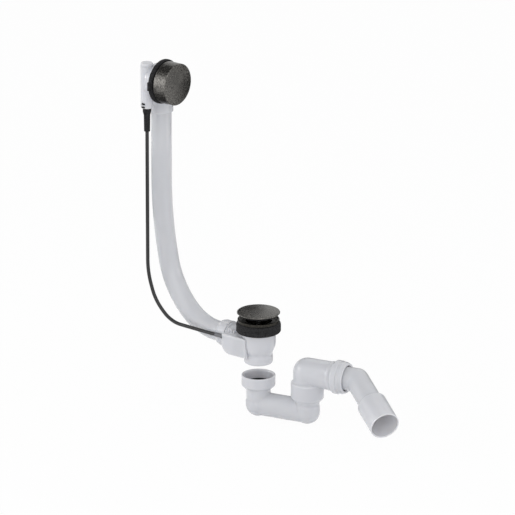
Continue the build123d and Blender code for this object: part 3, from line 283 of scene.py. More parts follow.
@dataclass(frozen=True)
class BrushedMetal:
    """Turned metal brushed round its axis, which is local Z of the piece, under a dark coat."""

    name: str
    dark_colour: str
    light_colour: str
    roughness: Pair
    line_mm: float = 0.9
    streak_mm: float = 11.0
    turned_radius_mm: float = 30.0
    line_depth_mm: float = 0.01
    anisotropy: float = 0.55
    stroke_span: Pair = (0.26, 0.74)

    def material(self) -> Material:
        """Builds the metal's nodes.

        Returns:
            The finished material.
        """
        material, tree = new_material(self.name)
        place = add_node(tree, "ShaderNodeTexCoord", {}, {})
        split = add_node(tree, "ShaderNodeSeparateXYZ", {}, {0: place.outputs["Object"]})
        flat = add_node(
            tree, "ShaderNodeCombineXYZ", {}, {"X": split.outputs["X"], "Y": split.outputs["Y"]}
        )
        radius = add_node(
            tree, "ShaderNodeVectorMath", {"operation": "LENGTH"}, {0: flat.outputs[0]}
        )
        heading = add_node(
            tree, "ShaderNodeVectorMath", {"operation": "NORMALIZE"}, {0: flat.outputs[0]}
        )
        across = add_node(
            tree, "ShaderNodeMath", {"operation": "ADD"},
            {0: radius.outputs["Value"], 1: split.outputs["Z"]},
        )
        # Real brush lines are about 0.1 mm apart; they are drawn wider so that they show.
        lines = add_node(
            tree, "ShaderNodeMath",
            {"operation": "MULTIPLY", 1: per_metre(self.line_mm)},
            {0: across.outputs[0]},
        )
        along = add_node(
            tree, "ShaderNodeVectorMath",
            {"operation": "SCALE", "Scale": self.turned_radius_mm / self.streak_mm},
            {0: heading.outputs[0]},
        )
        turned = add_node(tree, "ShaderNodeSeparateXYZ", {}, {0: along.outputs[0]})
        brushing = add_node(
            tree, "ShaderNodeCombineXYZ", {},
            {"X": turned.outputs["X"], "Y": turned.outputs["Y"], "Z": lines.outputs[0]},
        )
        strokes = add_node(
            tree, "ShaderNodeTexNoise", {"Scale": 1.0, "Detail": 1.5, "Roughness": 0.5},
            {"Vector": brushing.outputs[0]},
        )
        stroke = strokes.outputs[0]
        shades = stretched(tree, stroke, self.stroke_span)
        tangent = add_node(tree, "ShaderNodeTangent", {"direction_type": "RADIAL", "axis": "Z"}, {})
        shader = add_node(
            tree, "ShaderNodeBsdfPrincipled",
            {"Metallic": 1.0, "Anisotropic": self.anisotropy},
            {
                "Base Color": blended(tree, shades, self.dark_colour, self.light_colour),
                "Roughness": stretched(tree, stroke, NOISE_SPAN, self.roughness),
                "Normal": relief(tree, stroke, self.line_depth_mm),
                "Tangent": tangent.outputs[0],
            },
        )
        close_material(tree, shader)
        return material


@dataclass(frozen=True)
class PressedRubber:
    """Compression-moulded rubber: matt, with a fine tooth and a faint grey bloom."""

    name: str
    colour: str
    bloom_colour: str
    roughness: Pair
    bloom_mm: float = 9.0
    tooth_mm: float = 1.1
    tooth_depth_mm: float = 0.03
    ior: float = 1.5
    specular_level: float = 0.25
    bloom_span: Pair = (0.35, 0.65)

    def material(self) -> Material:
        """Builds the rubber's nodes.

        Returns:
            The finished material.
        """
        material, tree = new_material(self.name)
        place = add_node(tree, "ShaderNodeTexCoord", {}, {})
        bloom = noise(tree, place, self.bloom_mm, detail=1.0, roughness=0.5)
        # The tool's blasted tooth is about 0.05 mm; it is drawn about 2 mm so that it shows.
        tooth = noise(tree, place, self.tooth_mm, detail=3.0, roughness=0.7)
        patches = stretched(tree, bloom, self.bloom_span)
        shader = add_node(
            tree, "ShaderNodeBsdfPrincipled",
            {"IOR": self.ior, "Specular IOR Level": self.specular_level},
            {
                "Base Color": blended(tree, patches, self.colour, self.bloom_colour),
                "Roughness": stretched(tree, tooth, NOISE_SPAN, self.roughness),
                "Normal": relief(tree, tooth, self.tooth_depth_mm),
            },
        )
        close_material(tree, shader)
        return material


def corner_arc(
    before: Vector, corner: Vector, after: Vector, radius: float, steps: int = 6
) -> list[Vector]:
    """Points of the arc that rounds one corner of a profile.

    Args:
        before: Point before the corner.
        corner: The corner.
        after: Point after the corner.
        radius: Radius of the arc.
        steps: Straight pieces in the arc.

    Returns:
        The arc's points, or the corner alone where there is nothing to round.
    """
    back, ahead = (before - corner).normalized(), (after - corner).normalized()
    half = back.angle(ahead) / 2
    if radius <= 0 or half < LEAST_TURN or half > math.pi / 2 - LEAST_TURN:
        return [corner]
    room = min((before - corner).length / 2, (after - corner).length / 2)
    reach = min(radius / math.tan(half), room)
    radius = reach * math.tan(half)
    centre = corner + (back + ahead).normalized() * (radius / math.sin(half))
    start, end = corner + back * reach - centre, corner + ahead * reach - centre
    turn = start.angle_signed(end)
    return [
        centre + Matrix.Rotation(-turn * step / steps, 2) @ start for step in range(steps + 1)
    ]


def rounded_profile(corners: list[Corner], closed: bool, guard: float = 0.25) -> list[Vector]:
    """Profile of a turned piece with its corners rounded and its flats kept flat.

    Args:
        corners: Radius, height and, where the corner is rounded, the rounding radius, in mm.
        closed: Whether the last corner joins the first.
        guard: Distance from each end of a flat to its extra point, in mm.

    Returns:
        Points of radius and height in mm.
    """
    spots = [Vector(corner[:2]) for corner in corners]
    count = len(spots)
    arcs: list[list[Vector]] = []
    for index, corner in enumerate(corners):
        if not closed and index in (0, count - 1):
            arcs.append([spots[index]])
            continue
        radius = corner[2] if len(corner) > 2 else 0.0
        after = spots[(index + 1) % count]
        arcs.append(corner_arc(spots[index - 1], spots[index], after, radius))
    points: list[Vector] = []
    for index, arc in enumerate(arcs):
        points.extend(arc)
        if not closed and index == count - 1:
            break
        start, end = arc[-1], arcs[(index + 1) % count][0]
        if (end - start).length > 4 * guard:
            step = (end - start).normalized() * guard
            points.extend([start + step, end - step])
    return points


def mesh_object(name: str, mesh: bpy.types.Mesh) -> Object:
    """Puts a mesh into the scene as an object.

    Args:
        name: Name of the piece.
        mesh: Its mesh.

    Returns:
        The new object.
    """
    piece = bpy.data.objects.new(name, mesh)
    bpy.context.scene.collection.objects.link(piece)
    return piece


def worked_object(name: str, work: bmesh.types.BMesh) -> Object:
    """Puts a mesh that was built by hand into the scene, and frees its workspace.

    Args:
        name: Name of the piece.
        work: The built mesh.

    Returns:
        The new object.
    """
    mesh = bpy.data.meshes.new(name)
    work.to_mesh(mesh)
    work.free()
    return mesh_object(name, mesh)


def shade_by_angle(piece: Object, angle: float = 32.0) -> None:
    """Shades a piece smooth, with edges over an angle left sharp.

    Args:
        piece: Mesh piece.
        angle: Largest smooth angle in degrees.
    """
    piece.data.shade_smooth()
    piece.data.set_sharp_from_angle(angle=math.radians(angle))


@dataclass(frozen=True)
class Turning:
    """Axis of a turned piece: a point on it, in mm, and its way."""

    origin: Point
    way: Point = (0.0, 0.0, 1.0)

    def matrix(self) -> Matrix:
        """Places local Z on the axis.

        Returns:
            The piece's matrix in metres.
        """
        spin = Vector((0, 0, 1)).rotation_difference(Vector(self.way)).to_matrix().to_4x4()
        return Matrix.Translation(Vector(self.origin) * MM) @ spin

    def turn(
        self, name: str, corners: list[Corner], closed: bool = True, segments: int = 144
    ) -> Object:
        """Revolves a rounded profile about the axis.

        Args:
            name: Name of the piece.
            corners: Radius, height along the axis and rounding of each corner, in mm.
            closed: Whether the profile is a loop; an open one starts and ends on the axis.
            segments: Faces round the axis.

        Returns:
            The turned piece.
        """
        turns = [2 * math.pi * step / segments for step in range(segments)]
        work = bmesh.new()
        rings: list[list[bmesh.types.BMVert]] = []
        for radius, height in rounded_profile(corners, closed):
            if radius < ON_AXIS_MM:
                rings.append([work.verts.new((0, 0, height * MM))])
                continue
            rings.append([
                work.verts.new((
                    radius * MM * math.cos(turn), radius * MM * math.sin(turn), height * MM
                ))
                for turn in turns
            ])
        for lower, upper in zip(rings, rings[1:] + rings[:1] if closed else rings[1:]):
            for step in range(segments):
                follow = (step + 1) % segments
                if len(lower) == 1:
                    work.faces.new((lower[0], upper[follow], upper[step]))
                elif len(upper) == 1:
                    work.faces.new((lower[step], lower[follow], upper[0]))
                else:
                    work.faces.new((lower[step], lower[follow], upper[follow], upper[step]))
        bmesh.ops.recalc_face_normals(work, faces=work.faces)
        piece = worked_object(name, work)
        if max(abs(part) for part in self.way) < 1.0:
            piece.data.transform(self.matrix())  # a slanted piece keeps a tight box
        else:
            piece.matrix_world = self.matrix()
        shade_by_angle(piece)
        return piece


def applied(piece: Object) -> None:
    """Applies a piece's modifiers to its mesh.

    Args:
        piece: Mesh piece with modifiers.
    """
    bpy.context.view_layer.update()
    graph = bpy.context.evaluated_depsgraph_get()
    finished = bpy.data.meshes.new_from_object(piece.evaluated_get(graph))
    finished.name = piece.name
    piece.modifiers.clear()
    piece.data = finished


def moulded_copy(name: str, node: str, grid_mm: float, passes: int) -> Object:
    """Copies a CAD node's shape with the small radii that a mould gives its corners.

    Args:
        name: Name of the new piece.
        node: CAD node that gives the shape.
        grid_mm: Size of the voxels in mm.
        passes: Smoothing passes.

    Returns:
        The softened piece, at the node's place.
    """
    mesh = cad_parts[node].data.copy()
    mesh.materials.clear()
    work = bmesh.new()
    work.from_mesh(mesh)
    bmesh.ops.remove_doubles(work, verts=work.verts, dist=WELD_MM * MM)
    work.to_mesh(mesh)
    work.free()
    piece = mesh_object(name, mesh)
    remesh = piece.modifiers.new("voxels", "REMESH")
    remesh.mode = "VOXEL"
    remesh.voxel_size = grid_mm * MM
    remesh.use_smooth_shade = True
    smooth = piece.modifiers.new("radii", "SMOOTH")
    smooth.factor = 0.5
    smooth.iterations = passes
    applied(piece)
    piece.data.shade_smooth()
    return piece


def rounded_box(name: str, low: Point, high: Point, radius: float) -> Object:
    """Box with rounded edges.

    Args:
        name: Name of the piece.
        low: Lowest corner in mm.
        high: Highest corner in mm.
        radius: Edge radius in mm.

    Returns:
        The box.
    """
    work = bmesh.new()
    bmesh.ops.create_cube(work, size=1.0)
    for vertex in work.verts:
        vertex.co = Vector(
            (low[axis] if vertex.co[axis] < 0 else high[axis]) * MM for axis in range(3)
        )
    bmesh.ops.bevel(
        work, geom=list(work.edges), offset=radius * MM, segments=4, affect="EDGES", profile=0.5
    )
    piece = worked_object(name, work)
    shade_by_angle(piece)
    return piece


def hollow_tube(
    name: str, line: list[Vector], outer: float, wall: float, segments: int = 96
) -> Object:
    """Open-ended tube along a line in the XZ plane, with slightly rounded rims.

    Args:
        name: Name of the piece.
        line: Points of the centre line in mm; a point's neighbours give the tube's way there.
        outer: Outer radius in mm.
        wall: Wall thickness in mm.
        segments: Faces round the tube.

    Returns:
        The tube.
    """
    rim = wall / 5
    turns = [2 * math.pi * step / segments for step in range(segments)]
    side = Vector((0, 1, 0))
    work = bmesh.new()

    def ring(at: Vector, way: Vector, radius: float) -> list[bmesh.types.BMVert]:
        """One ring of points round the centre line."""
        up = way.cross(side).normalized()
        return [
            work.verts.new((at + (side * math.cos(turn) + up * math.sin(turn)) * radius) * MM)
            for turn in turns
        ]

    ways = [
        (line[min(index + 1, len(line) - 1)] - line[max(index - 1, 0)]).normalized()
        for index in range(len(line))
    ]
    stations = [
        (line[0], ways[0], rim), (line[0] + ways[0] * rim, ways[0], 0.0),
        *((at, way, 0.0) for at, way in zip(line[1:-1], ways[1:-1])),
        (line[-1] - ways[-1] * rim, ways[-1], 0.0), (line[-1], ways[-1], rim),
    ]
    rings = [ring(at, way, outer - cut) for at, way, cut in stations]
    rings += [ring(at, way, outer - wall + cut) for at, way, cut in reversed(stations)]
    for lower, upper in zip(rings, rings[1:] + rings[:1]):
        for step in range(segments):
            follow = (step + 1) % segments
            work.faces.new((lower[step], lower[follow], upper[follow], upper[step]))
    bmesh.ops.recalc_face_normals(work, faces=work.faces)
    piece = worked_object(name, work)
    shade_by_angle(piece, angle=50.0)
    return piece


def dress(piece: Object, material: Material) -> None:
    """Gives a piece one material all over.

    Args:
        piece: New piece or CAD node.
        material: Its finish.
    """
    piece.data.materials.clear()
    piece.data.materials.append(material)


def seat(
    piece: Object, body: Body, material: Material, stands_for: tuple[str, ...] = ()
) -> None:
    """Dresses a new piece and ties it to its body and to the CAD nodes that it stands for.

    Args:
        piece: The new piece.
        body: Body that it rides on.
        material: Its finish.
        stands_for: CAD nodes that it replaces.
    """
    dress(piece, material)
    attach(piece, body.value)
    if stands_for:
        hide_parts(*stands_for)
    LOG.info("piece %s on %s for %s", piece.name, body.value, ", ".join(stands_for) or "itself")


def dress_nodes(nodes: tuple[str, ...], material: Material) -> None:
    """Gives carried-over CAD nodes a finish.

    Args:
        nodes: Names of the nodes.
        material: Their finish.
    """
    for node in nodes:
        dress(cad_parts[node], material)
        LOG.info("node %s dressed as %s", node, material.name)


@dataclass
class Finishes:
    """All finishes of the set, each made once."""

    # Polypropylene, injection moulded: a cool, even off-white with a soft broad sheen.
    white: MouldedPlastic = MouldedPlastic(
        "injection_moulded_polypropylene", "#d6d7db", "#d1d2d7", (0.17, 0.25)
    )
    # Zinc and brass under a gunmetal coat, brushed on the lathe: dark grey with streaks.
    gunmetal: BrushedMetal = BrushedMetal(
        "brushed_gunmetal_coat", "#3a3938", "#82807c", (0.24, 0.42), line_mm=1.8, streak_mm=2.2
    )
    # Brass flange under the same coat, drawn darker and plainer: the darkness is painted shade of
    # the raised cap over the dish.
    flange_coat_with_painted_shade: BrushedMetal = BrushedMetal(
        "gunmetal_coat_with_painted_shade", "#242322", "#484641", (0.3, 0.45),
        line_mm=2.4, streak_mm=3.0, anisotropy=0.2,
    )
    # EPDM rubber, compression moulded: nearly black and matt.
    rubber: PressedRubber = PressedRubber(
        "moulded_epdm_rubber", "#0c0c0d", "#29292b", (0.6, 0.85),
        bloom_mm=2.4, tooth_mm=2.2, tooth_depth_mm=0.2,
    )
    # PVC cable jacket, extruded: black with a slightly oily sheen.
    jacket: MouldedPlastic = MouldedPlastic(
        "extruded_pvc_jacket", "#1b1b1c", "#232324", (0.36, 0.48), cloud_mm=12.0, translucency=0.0
    )
    # Acetal, injection moulded: mid grey and waxy.
    acetal: MouldedPlastic = MouldedPlastic(
        "moulded_grey_acetal", "#6b6c70", "#626367", (0.3, 0.4), translucency=0.0
    )
    # Stainless steel bar and screws, turned: pale and a little satin.
    steel: BrushedMetal = BrushedMetal(
        "turned_stainless_steel", "#a3a4a6", "#c4c5c7", (0.22, 0.34),
        line_mm=0.6, streak_mm=3.0, turned_radius_mm=3.0, anisotropy=0.3,
    )
    made: dict[str, Material] = field(default_factory=dict)

    def get(self, finish: MouldedPlastic | BrushedMetal | PressedRubber) -> Material:
        """Material of a finish, made the first time that it is asked for.

        Args:
            finish: One of the set's finishes.

        Returns:
            Its material.
        """
        if finish.name not in self.made:
            self.made[finish.name] = finish.material()
        return self.made[finish.name]


def flat_sheet(name: str, wide: float, high: float, level: float = 0.0) -> Object:
    """Makes a rectangle of one face.

    Args:
        name: Name of the sheet.
        wide: Its width in metres.
        high: Its height in metres.
        level: Its place on Z in metres.

    Returns:
        The sheet.
    """
    mesh = bpy.data.meshes.new(name)
    x, y = wide / 2, high / 2
    corners = [(-x, -y, level), (x, -y, level), (x, y, level), (-x, y, level)]
    mesh.from_pydata(corners, [], [(0, 1, 2, 3)])
    return mesh_object(name, mesh)


@dataclass(frozen=True)
class Lamp:
    """Soft area lamp that faces the object: its direction, distance, width and height, power."""

    name: str
    way: Point
    distance_m: float
    size_m: Pair
    power_w: float


@dataclass(frozen=True)
class Card:
    """Grey card that only reflections see: its centre, the way it faces, width and height."""

    name: str
    centre_mm: Point
    way: Point
    size_m: Pair


@dataclass
class Studio:
    """Camera at the photograph's angle, a pale floor, soft plain light and grey cards."""

    look_at_mm: Point = (-22.6, 26.0, 99.9)
    distance_m: float = 12.0
    far_clip_m: float = 100.0
    lens_mm: float = 505.4
    sensor_mm: float = 36.0
    floor_drop_mm: float = 1.0
    floor_side_m: float = 60.0
    background: str = "#ffffff"
    floor_colour: str = "#f4f4f5"
    floor_glow: float = 0.96
    card_colour: str = "#646464"
    ambient: float = 0.66
    lamps: tuple[Lamp, ...] = (
        Lamp("left_strip", (-0.585, -0.739, 0.334), 2.2, (0.7, 1.4), 3.4),
        Lamp("right_fill", (0.906, 0.389, 0.168), 2.2, (1.2, 0.9), 5.0),
        Lamp("front_wall", CAMERA_WAY, 3.0, (3.0, 2.0), 22.0),
        Lamp("small_key", (-0.72, -0.58, 0.34), 2.0, (0.06, 0.06), 5.0),
    )
    # The cards make the dark bands that the photograph shows in the metal.
    cards: tuple[Card, ...] = (
        Card("card_above_knob", (-601.0, -75.0, 1010.0), (0.585, 0.06, -0.807), (0.95, 0.8)),
        Card("card_below_knob", (-311.0, -75.0, 169.0), (0.585, 0.089, 0.806), (0.35, 0.16)),
        Card("card_behind_face", (-146.0, 147.0, 384.0), (-0.585, -0.743, 0.326), (0.2, 0.24)),
        Card("card_behind_cap", (-395.0, 291.0, 181.0), (0.585, -0.743, -0.326), (0.3, 0.3)),
        Card("card_behind_outlet", (120.0, 330.0, -60.0), (0.3, -0.9, 0.1), (0.7, 0.2)),
    )

    def camera(self) -> None:
        """Adds the camera."""
        data = bpy.data.cameras.new("camera")
        data.lens = self.lens_mm
        data.sensor_width = self.sensor_mm
        data.sensor_fit = "HORIZONTAL"
        data.clip_end = self.far_clip_m
        camera = bpy.data.objects.new("camera", data)
        bpy.context.scene.collection.objects.link(camera)
        way = Vector(CAMERA_WAY).normalized()
        camera.location = Vector(self.look_at_mm) * MM + way * self.distance_m
        camera.rotation_euler = way.to_track_quat("Z", "Y").to_euler()
        bpy.context.scene.camera = camera

    def world(self) -> None:
        """Adds plain ambient light, white where the camera or a reflection sees it."""
        world = bpy.data.worlds.new("plain_studio")
        world.use_nodes = True
        tree = world.node_tree
        tree.nodes.clear()
        seen = self.seen(tree)
        level = stretched(tree, seen.outputs[0], (0.0, 1.0), (self.ambient, 1.0))
        light = add_node(
            tree, "ShaderNodeBackground", {"Color": linear(self.background)}, {"Strength": level}
        )
        add_node(tree, "ShaderNodeOutputWorld", {}, {"Surface": light.outputs[0]})
        bpy.context.scene.world = world

    def seen(self, tree: Tree) -> Node:
        """Node that is 1 where the camera, a reflection or a clear piece sees the background.

        Args:
            tree: Node tree that gets the nodes.

        Returns:
            The last of them.
        """
        path = add_node(tree, "ShaderNodeLightPath", {}, {})
        direct = add_node(
            tree, "ShaderNodeMath", {"operation": "MAXIMUM"},
            {0: path.outputs["Is Camera Ray"], 1: path.outputs["Is Glossy Ray"]},
        )
        return add_node(
            tree, "ShaderNodeMath", {"operation": "MAXIMUM"},
            {0: direct.outputs[0], 1: path.outputs["Is Transmission Ray"]},
        )

    def floor(self) -> None:
        """Adds the pale floor, which glows to white but keeps some of the object's shadow."""
        level = CAD_BOX[0][2] - self.floor_drop_mm * MM
        floor = flat_sheet("floor", self.floor_side_m, self.floor_side_m, level)
        material, tree = new_material("matt_white_paper")
        seen = self.seen(tree)
        share = add_node(
            tree, "ShaderNodeMath",
            {"operation": "MULTIPLY", 1: self.floor_glow}, {0: seen.outputs[0]},
        )
        paper = add_node(tree, "ShaderNodeBsdfDiffuse", {"Color": linear(self.floor_colour)}, {})
        glow = add_node(
            tree, "ShaderNodeEmission", {"Color": linear(self.background), "Strength": 1.0}, {}
        )
        mixed = add_node(
            tree, "ShaderNodeMixShader", {},
            {0: share.outputs[0], 1: paper.outputs[0], 2: glow.outputs[0]},
        )
        close_material(tree, mixed)
        dress(floor, material)

    def add_lamp(self, lamp: Lamp) -> None:
        """Adds one lamp.

        Args:
            lamp: The lamp's place, size and power.
        """
        data = bpy.data.lights.new(lamp.name, "AREA")
        data.shape = "RECTANGLE"
        data.size, data.size_y = lamp.size_m
        data.energy = lamp.power_w
        light = bpy.data.objects.new(lamp.name, data)
        bpy.context.scene.collection.objects.link(light)
        way = Vector(lamp.way).normalized()
        light.location = Vector(self.look_at_mm) * MM + way * lamp.distance_m
        light.rotation_euler = way.to_track_quat("Z", "Y").to_euler()

    def add_card(self, plan: Card, material: Material) -> None:
        """Adds one grey card.

        Args:
            plan: The card's place and size.
            material: Its finish.
        """
        card = flat_sheet(plan.name, *plan.size_m)
        card.location = Vector(plan.centre_mm) * MM
        card.rotation_euler = Vector(plan.way).to_track_quat("Z", "Y").to_euler()
        dress(card, material)
        card.visible_camera = False
        card.visible_diffuse = False
        card.visible_shadow = False

    def build(self) -> None:
        """Builds the whole studio."""
        self.camera()
        self.world()
        self.floor()
        for lamp in self.lamps:
            self.add_lamp(lamp)
        grey, tree = new_material("matt_grey_card")
        close_material(
            tree, add_node(tree, "ShaderNodeBsdfDiffuse", {"Color": linear(self.card_colour)}, {})
        )
        for plan in self.cards:
            self.add_card(plan, grey)
        bpy.context.scene.view_settings.view_transform = "Standard"


@dataclass
class OverflowHead:
    """White head of the overflow with its gasket, faceplate, geared drive and knob."""

    axis: Point = (0.0, -22.8, 387.5)
    knob_radius: float = 35.3
    knob_rear: float = -175.6
    knob_face: float = -151.6
    knob_wall: float = 2.2
    knob_face_thickness: float = 3.0
    knob_chamfer: float = 0.8
    hub_radius: float = 8.0
    hub_length: float = 14.0
    spindle_bore: float = 4.1
    spindle_depth: float = 10.0
    grub_radius: float = 2.1
    drill_overlap: float = 0.5
    drill_excess: float = 2.0

    def knob(self, finishes: Finishes) -> None:
        """Turns the knob's cup and drills its hole for the grub screw.

        Args:
            finishes: The set's finishes.
        """
        inside = self.knob_face - self.knob_face_thickness
        hub_back = inside - self.hub_length
        bore_end = hub_back + self.spindle_depth
        edge = self.knob_radius - self.knob_chamfer
        turning = Turning(self.axis, (1.0, 0.0, 0.0))
        knob = turning.turn("knob_shell", [
            (0.0, self.knob_face),
            (edge, self.knob_face, 0.25),
            (self.knob_radius, self.knob_face - self.knob_chamfer, 0.25),
            (self.knob_radius, self.knob_rear, 0.5),
            (self.knob_radius - self.knob_wall, self.knob_rear, 0.5),
            (self.knob_radius - self.knob_wall, inside, 0.8),
            (self.hub_radius, inside, 0.8),
            (self.hub_radius, hub_back, 0.4),
            (self.spindle_bore, hub_back, 0.3),
            (self.spindle_bore, bore_end),
            (0.0, bore_end),
        ], closed=False, segments=192)
        grub_x = hub_back + self.hub_length / 3
        drill_foot = self.spindle_bore - self.drill_overlap
        drill_top = self.knob_radius + self.drill_excess
        drill = Turning((grub_x, self.axis[1], self.axis[2]), (0.0, 0.0, -1.0)).turn("drill", [
            (0.0, drill_foot), (self.grub_radius, drill_foot),
            (self.grub_radius, drill_top), (0.0, drill_top),
        ], closed=False, segments=32)
        cut = knob.modifiers.new("grub_hole", "BOOLEAN")
        cut.operation = "DIFFERENCE"
        cut.solver = "EXACT"
        cut.object = drill
        applied(knob)
        bpy.data.objects.remove(drill)
        shade_by_angle(knob)
        seat(knob, Body.KNOB, finishes.get(finishes.gunmetal), ("rotary_knob",))

    def build(self, finishes: Finishes) -> None:
        """Builds the head's pieces and dresses its small parts.

        Args:
            finishes: The set's finishes.
        """
        white = finishes.get(finishes.white)
        body = moulded_copy("overflow_moulding", "overflow_body", 0.85, 6)
        seat(body, Body.WASTE, white, ("overflow_body",))
        rubber = finishes.get(finishes.rubber)
        gasket = moulded_copy("overflow_ring", "overflow_gasket", 0.6, 5)
        seat(gasket, Body.WASTE, rubber, ("overflow_gasket",))
        self.knob(finishes)
        dress_nodes(("housing_cap", "gearbox_lid", "overflow_faceplate"), white)
        dress_nodes(("drive_pinion", "drive_rack"), finishes.get(finishes.acetal))
        steel = finishes.get(finishes.steel)
        dress_nodes(("faceplate_screws", "drive_spindle", "knob_grub_screw"), steel)


@dataclass
class OverflowPipe:
    """Bent white pipe between the head and the waste, with its nut and seals."""

    axis_x: float = -205.6
    top: float = 352.0
    radius: float = 17.0
    wall: float = 2.0
    # Radius of each bend, and its heading from the vertical at the bend's end
    bends: tuple[Pair, ...] = ((700.0, 11.8), (152.5, 47.2), (89.4, 90.0))
    foot_x: float = -42.0
    foot_z: float = -35.3
    nut_radius: float = 22.3
    nut_bore: float = 18.9
    nut_right: float = -57.5
    nut_left: float = -79.0
    nut_grip: float = 8.0
    nut_step: float = 1.6
    nut_lip: float = 17.4
    nut_throat: float = 17.2
    nut_floor: float = -72.0
    step_degrees: float = 1.5

    def line(self) -> list[Vector]:
        """Centre line of the pipe.

        Returns:
            Points in mm, from the head to the waste.
        """
        drop = 0.0
        heading = 0.0
        for radius, end in self.bends:
            drop += radius * (math.sin(math.radians(end)) - math.sin(math.radians(heading)))
            heading = end
        first_bend = Vector((self.axis_x, 0.0, self.foot_z + drop))
        points = [Vector((self.axis_x, 0.0, self.top)), first_bend]
        heading = 0.0
        for radius, end in self.bends:
            start = points[-1].copy()
            begin = math.radians(heading)
            steps = max(2, round((end - heading) / self.step_degrees))
            for step in range(1, steps + 1):
                turn = math.radians(heading + (end - heading) * step / steps)
                across = radius * (math.cos(begin) - math.cos(turn))
                down = radius * (math.sin(turn) - math.sin(begin))
                points.append(start + Vector((across, 0.0, -down)))
            heading = end
        points.append(Vector((self.foot_x, 0.0, self.foot_z)))
        return points

    def build(self, finishes: Finishes) -> None:
        """Builds the pipe and its nut.

        Args:
            finishes: The set's finishes.
        """
        white = finishes.get(finishes.white)
        pipe = hollow_tube("overflow_tube", self.line(), self.radius, self.wall)
        seat(pipe, Body.WASTE, white, ("overflow_pipe",))
        nut = Turning((0.0, 0.0, self.foot_z), (1.0, 0.0, 0.0)).turn("branch_nut", [
            (self.nut_bore, self.nut_right, 0.3),
            (self.nut_radius, self.nut_right, 0.9),
            (self.nut_radius, self.nut_left + self.nut_grip, 1.5),
            (self.nut_radius - self.nut_step, self.nut_left + self.nut_grip / 3, 1.6),
            (self.nut_lip, self.nut_left, 0.4),
            (self.nut_throat, self.nut_floor),
            (self.nut_bore, self.nut_floor),
        ])
        seat(nut, Body.WASTE, white, ("pipe_union_nut",))
        dress_nodes(("pipe_upper_seal", "pipe_lower_seal"), finishes.get(finishes.rubber))


@dataclass
class ControlCable:
    """Black sheathed cable, from its boot under the housing to its ferrule at the waste."""

    boot_axis: Point = (-205.6, -37.7, 0.0)
    boot_top: float = 341.0
    boot_length: float = 41.0
    plug_height: float = 9.6
    plug_radius: float = 6.2
    collar_radius: float = 7.1
    collar_straight: float = 6.5
    collar_length: float = 13.0
    neck_radius: float = 5.4
    tip_radius: float = 5.0
    core_bore: float = 1.8
    sheath_bore: float = 3.1
    sheath_insert: float = 30.0
    barb_levels: Pair = (2.6, 8.2)
    barb_half_width: float = 3.1
    barb_half_height: float = 1.35
    barb_front: float = 10.6
    barb_back: float = 5.6
    barb_round: float = 0.25

    def build(self, finishes: Finishes) -> None:
        """Builds the boot and dresses the cable.

        Args:
            finishes: The set's finishes.
        """
        rubber = finishes.get(finishes.rubber)
        top, foot = self.boot_top, self.boot_top - self.boot_length
        boot = Turning(self.boot_axis).turn("strain_relief", [
            (self.core_bore, top + self.plug_height),
            (self.plug_radius, top + self.plug_height, 0.3),
            (self.plug_radius, top),
            (self.collar_radius, top, 0.6),
            (self.collar_radius, top - self.collar_straight, 1.6),
            (self.neck_radius, top - self.collar_length, 1.6),
            (self.tip_radius, foot, 0.6),
            (self.sheath_bore, foot, 0.3),
            (self.sheath_bore, foot + self.sheath_insert),
            (self.core_bore, foot + self.sheath_insert),
        ], segments=72)
        seat(boot, Body.WASTE, rubber, ("cable_boot",))
        # The barbs fill the two slots in the front of the housing.
        x, y, _ = self.boot_axis
        for number, level in enumerate(self.barb_levels):
            height = top + level
            low = (x - self.barb_half_width, y - self.barb_front, height - self.barb_half_height)
            high = (x + self.barb_half_width, y - self.barb_back, height + self.barb_half_height)
            barb = rounded_box(f"boot_barb_{number}", low, high, self.barb_round)
            seat(barb, Body.WASTE, rubber)
        dress_nodes(("cable_sheath",), finishes.get(finishes.jacket))
        dress_nodes(("cable_ferrule",), finishes.get(finishes.acetal))
        dress_nodes(("cable_core_end",), finishes.get(finishes.steel))


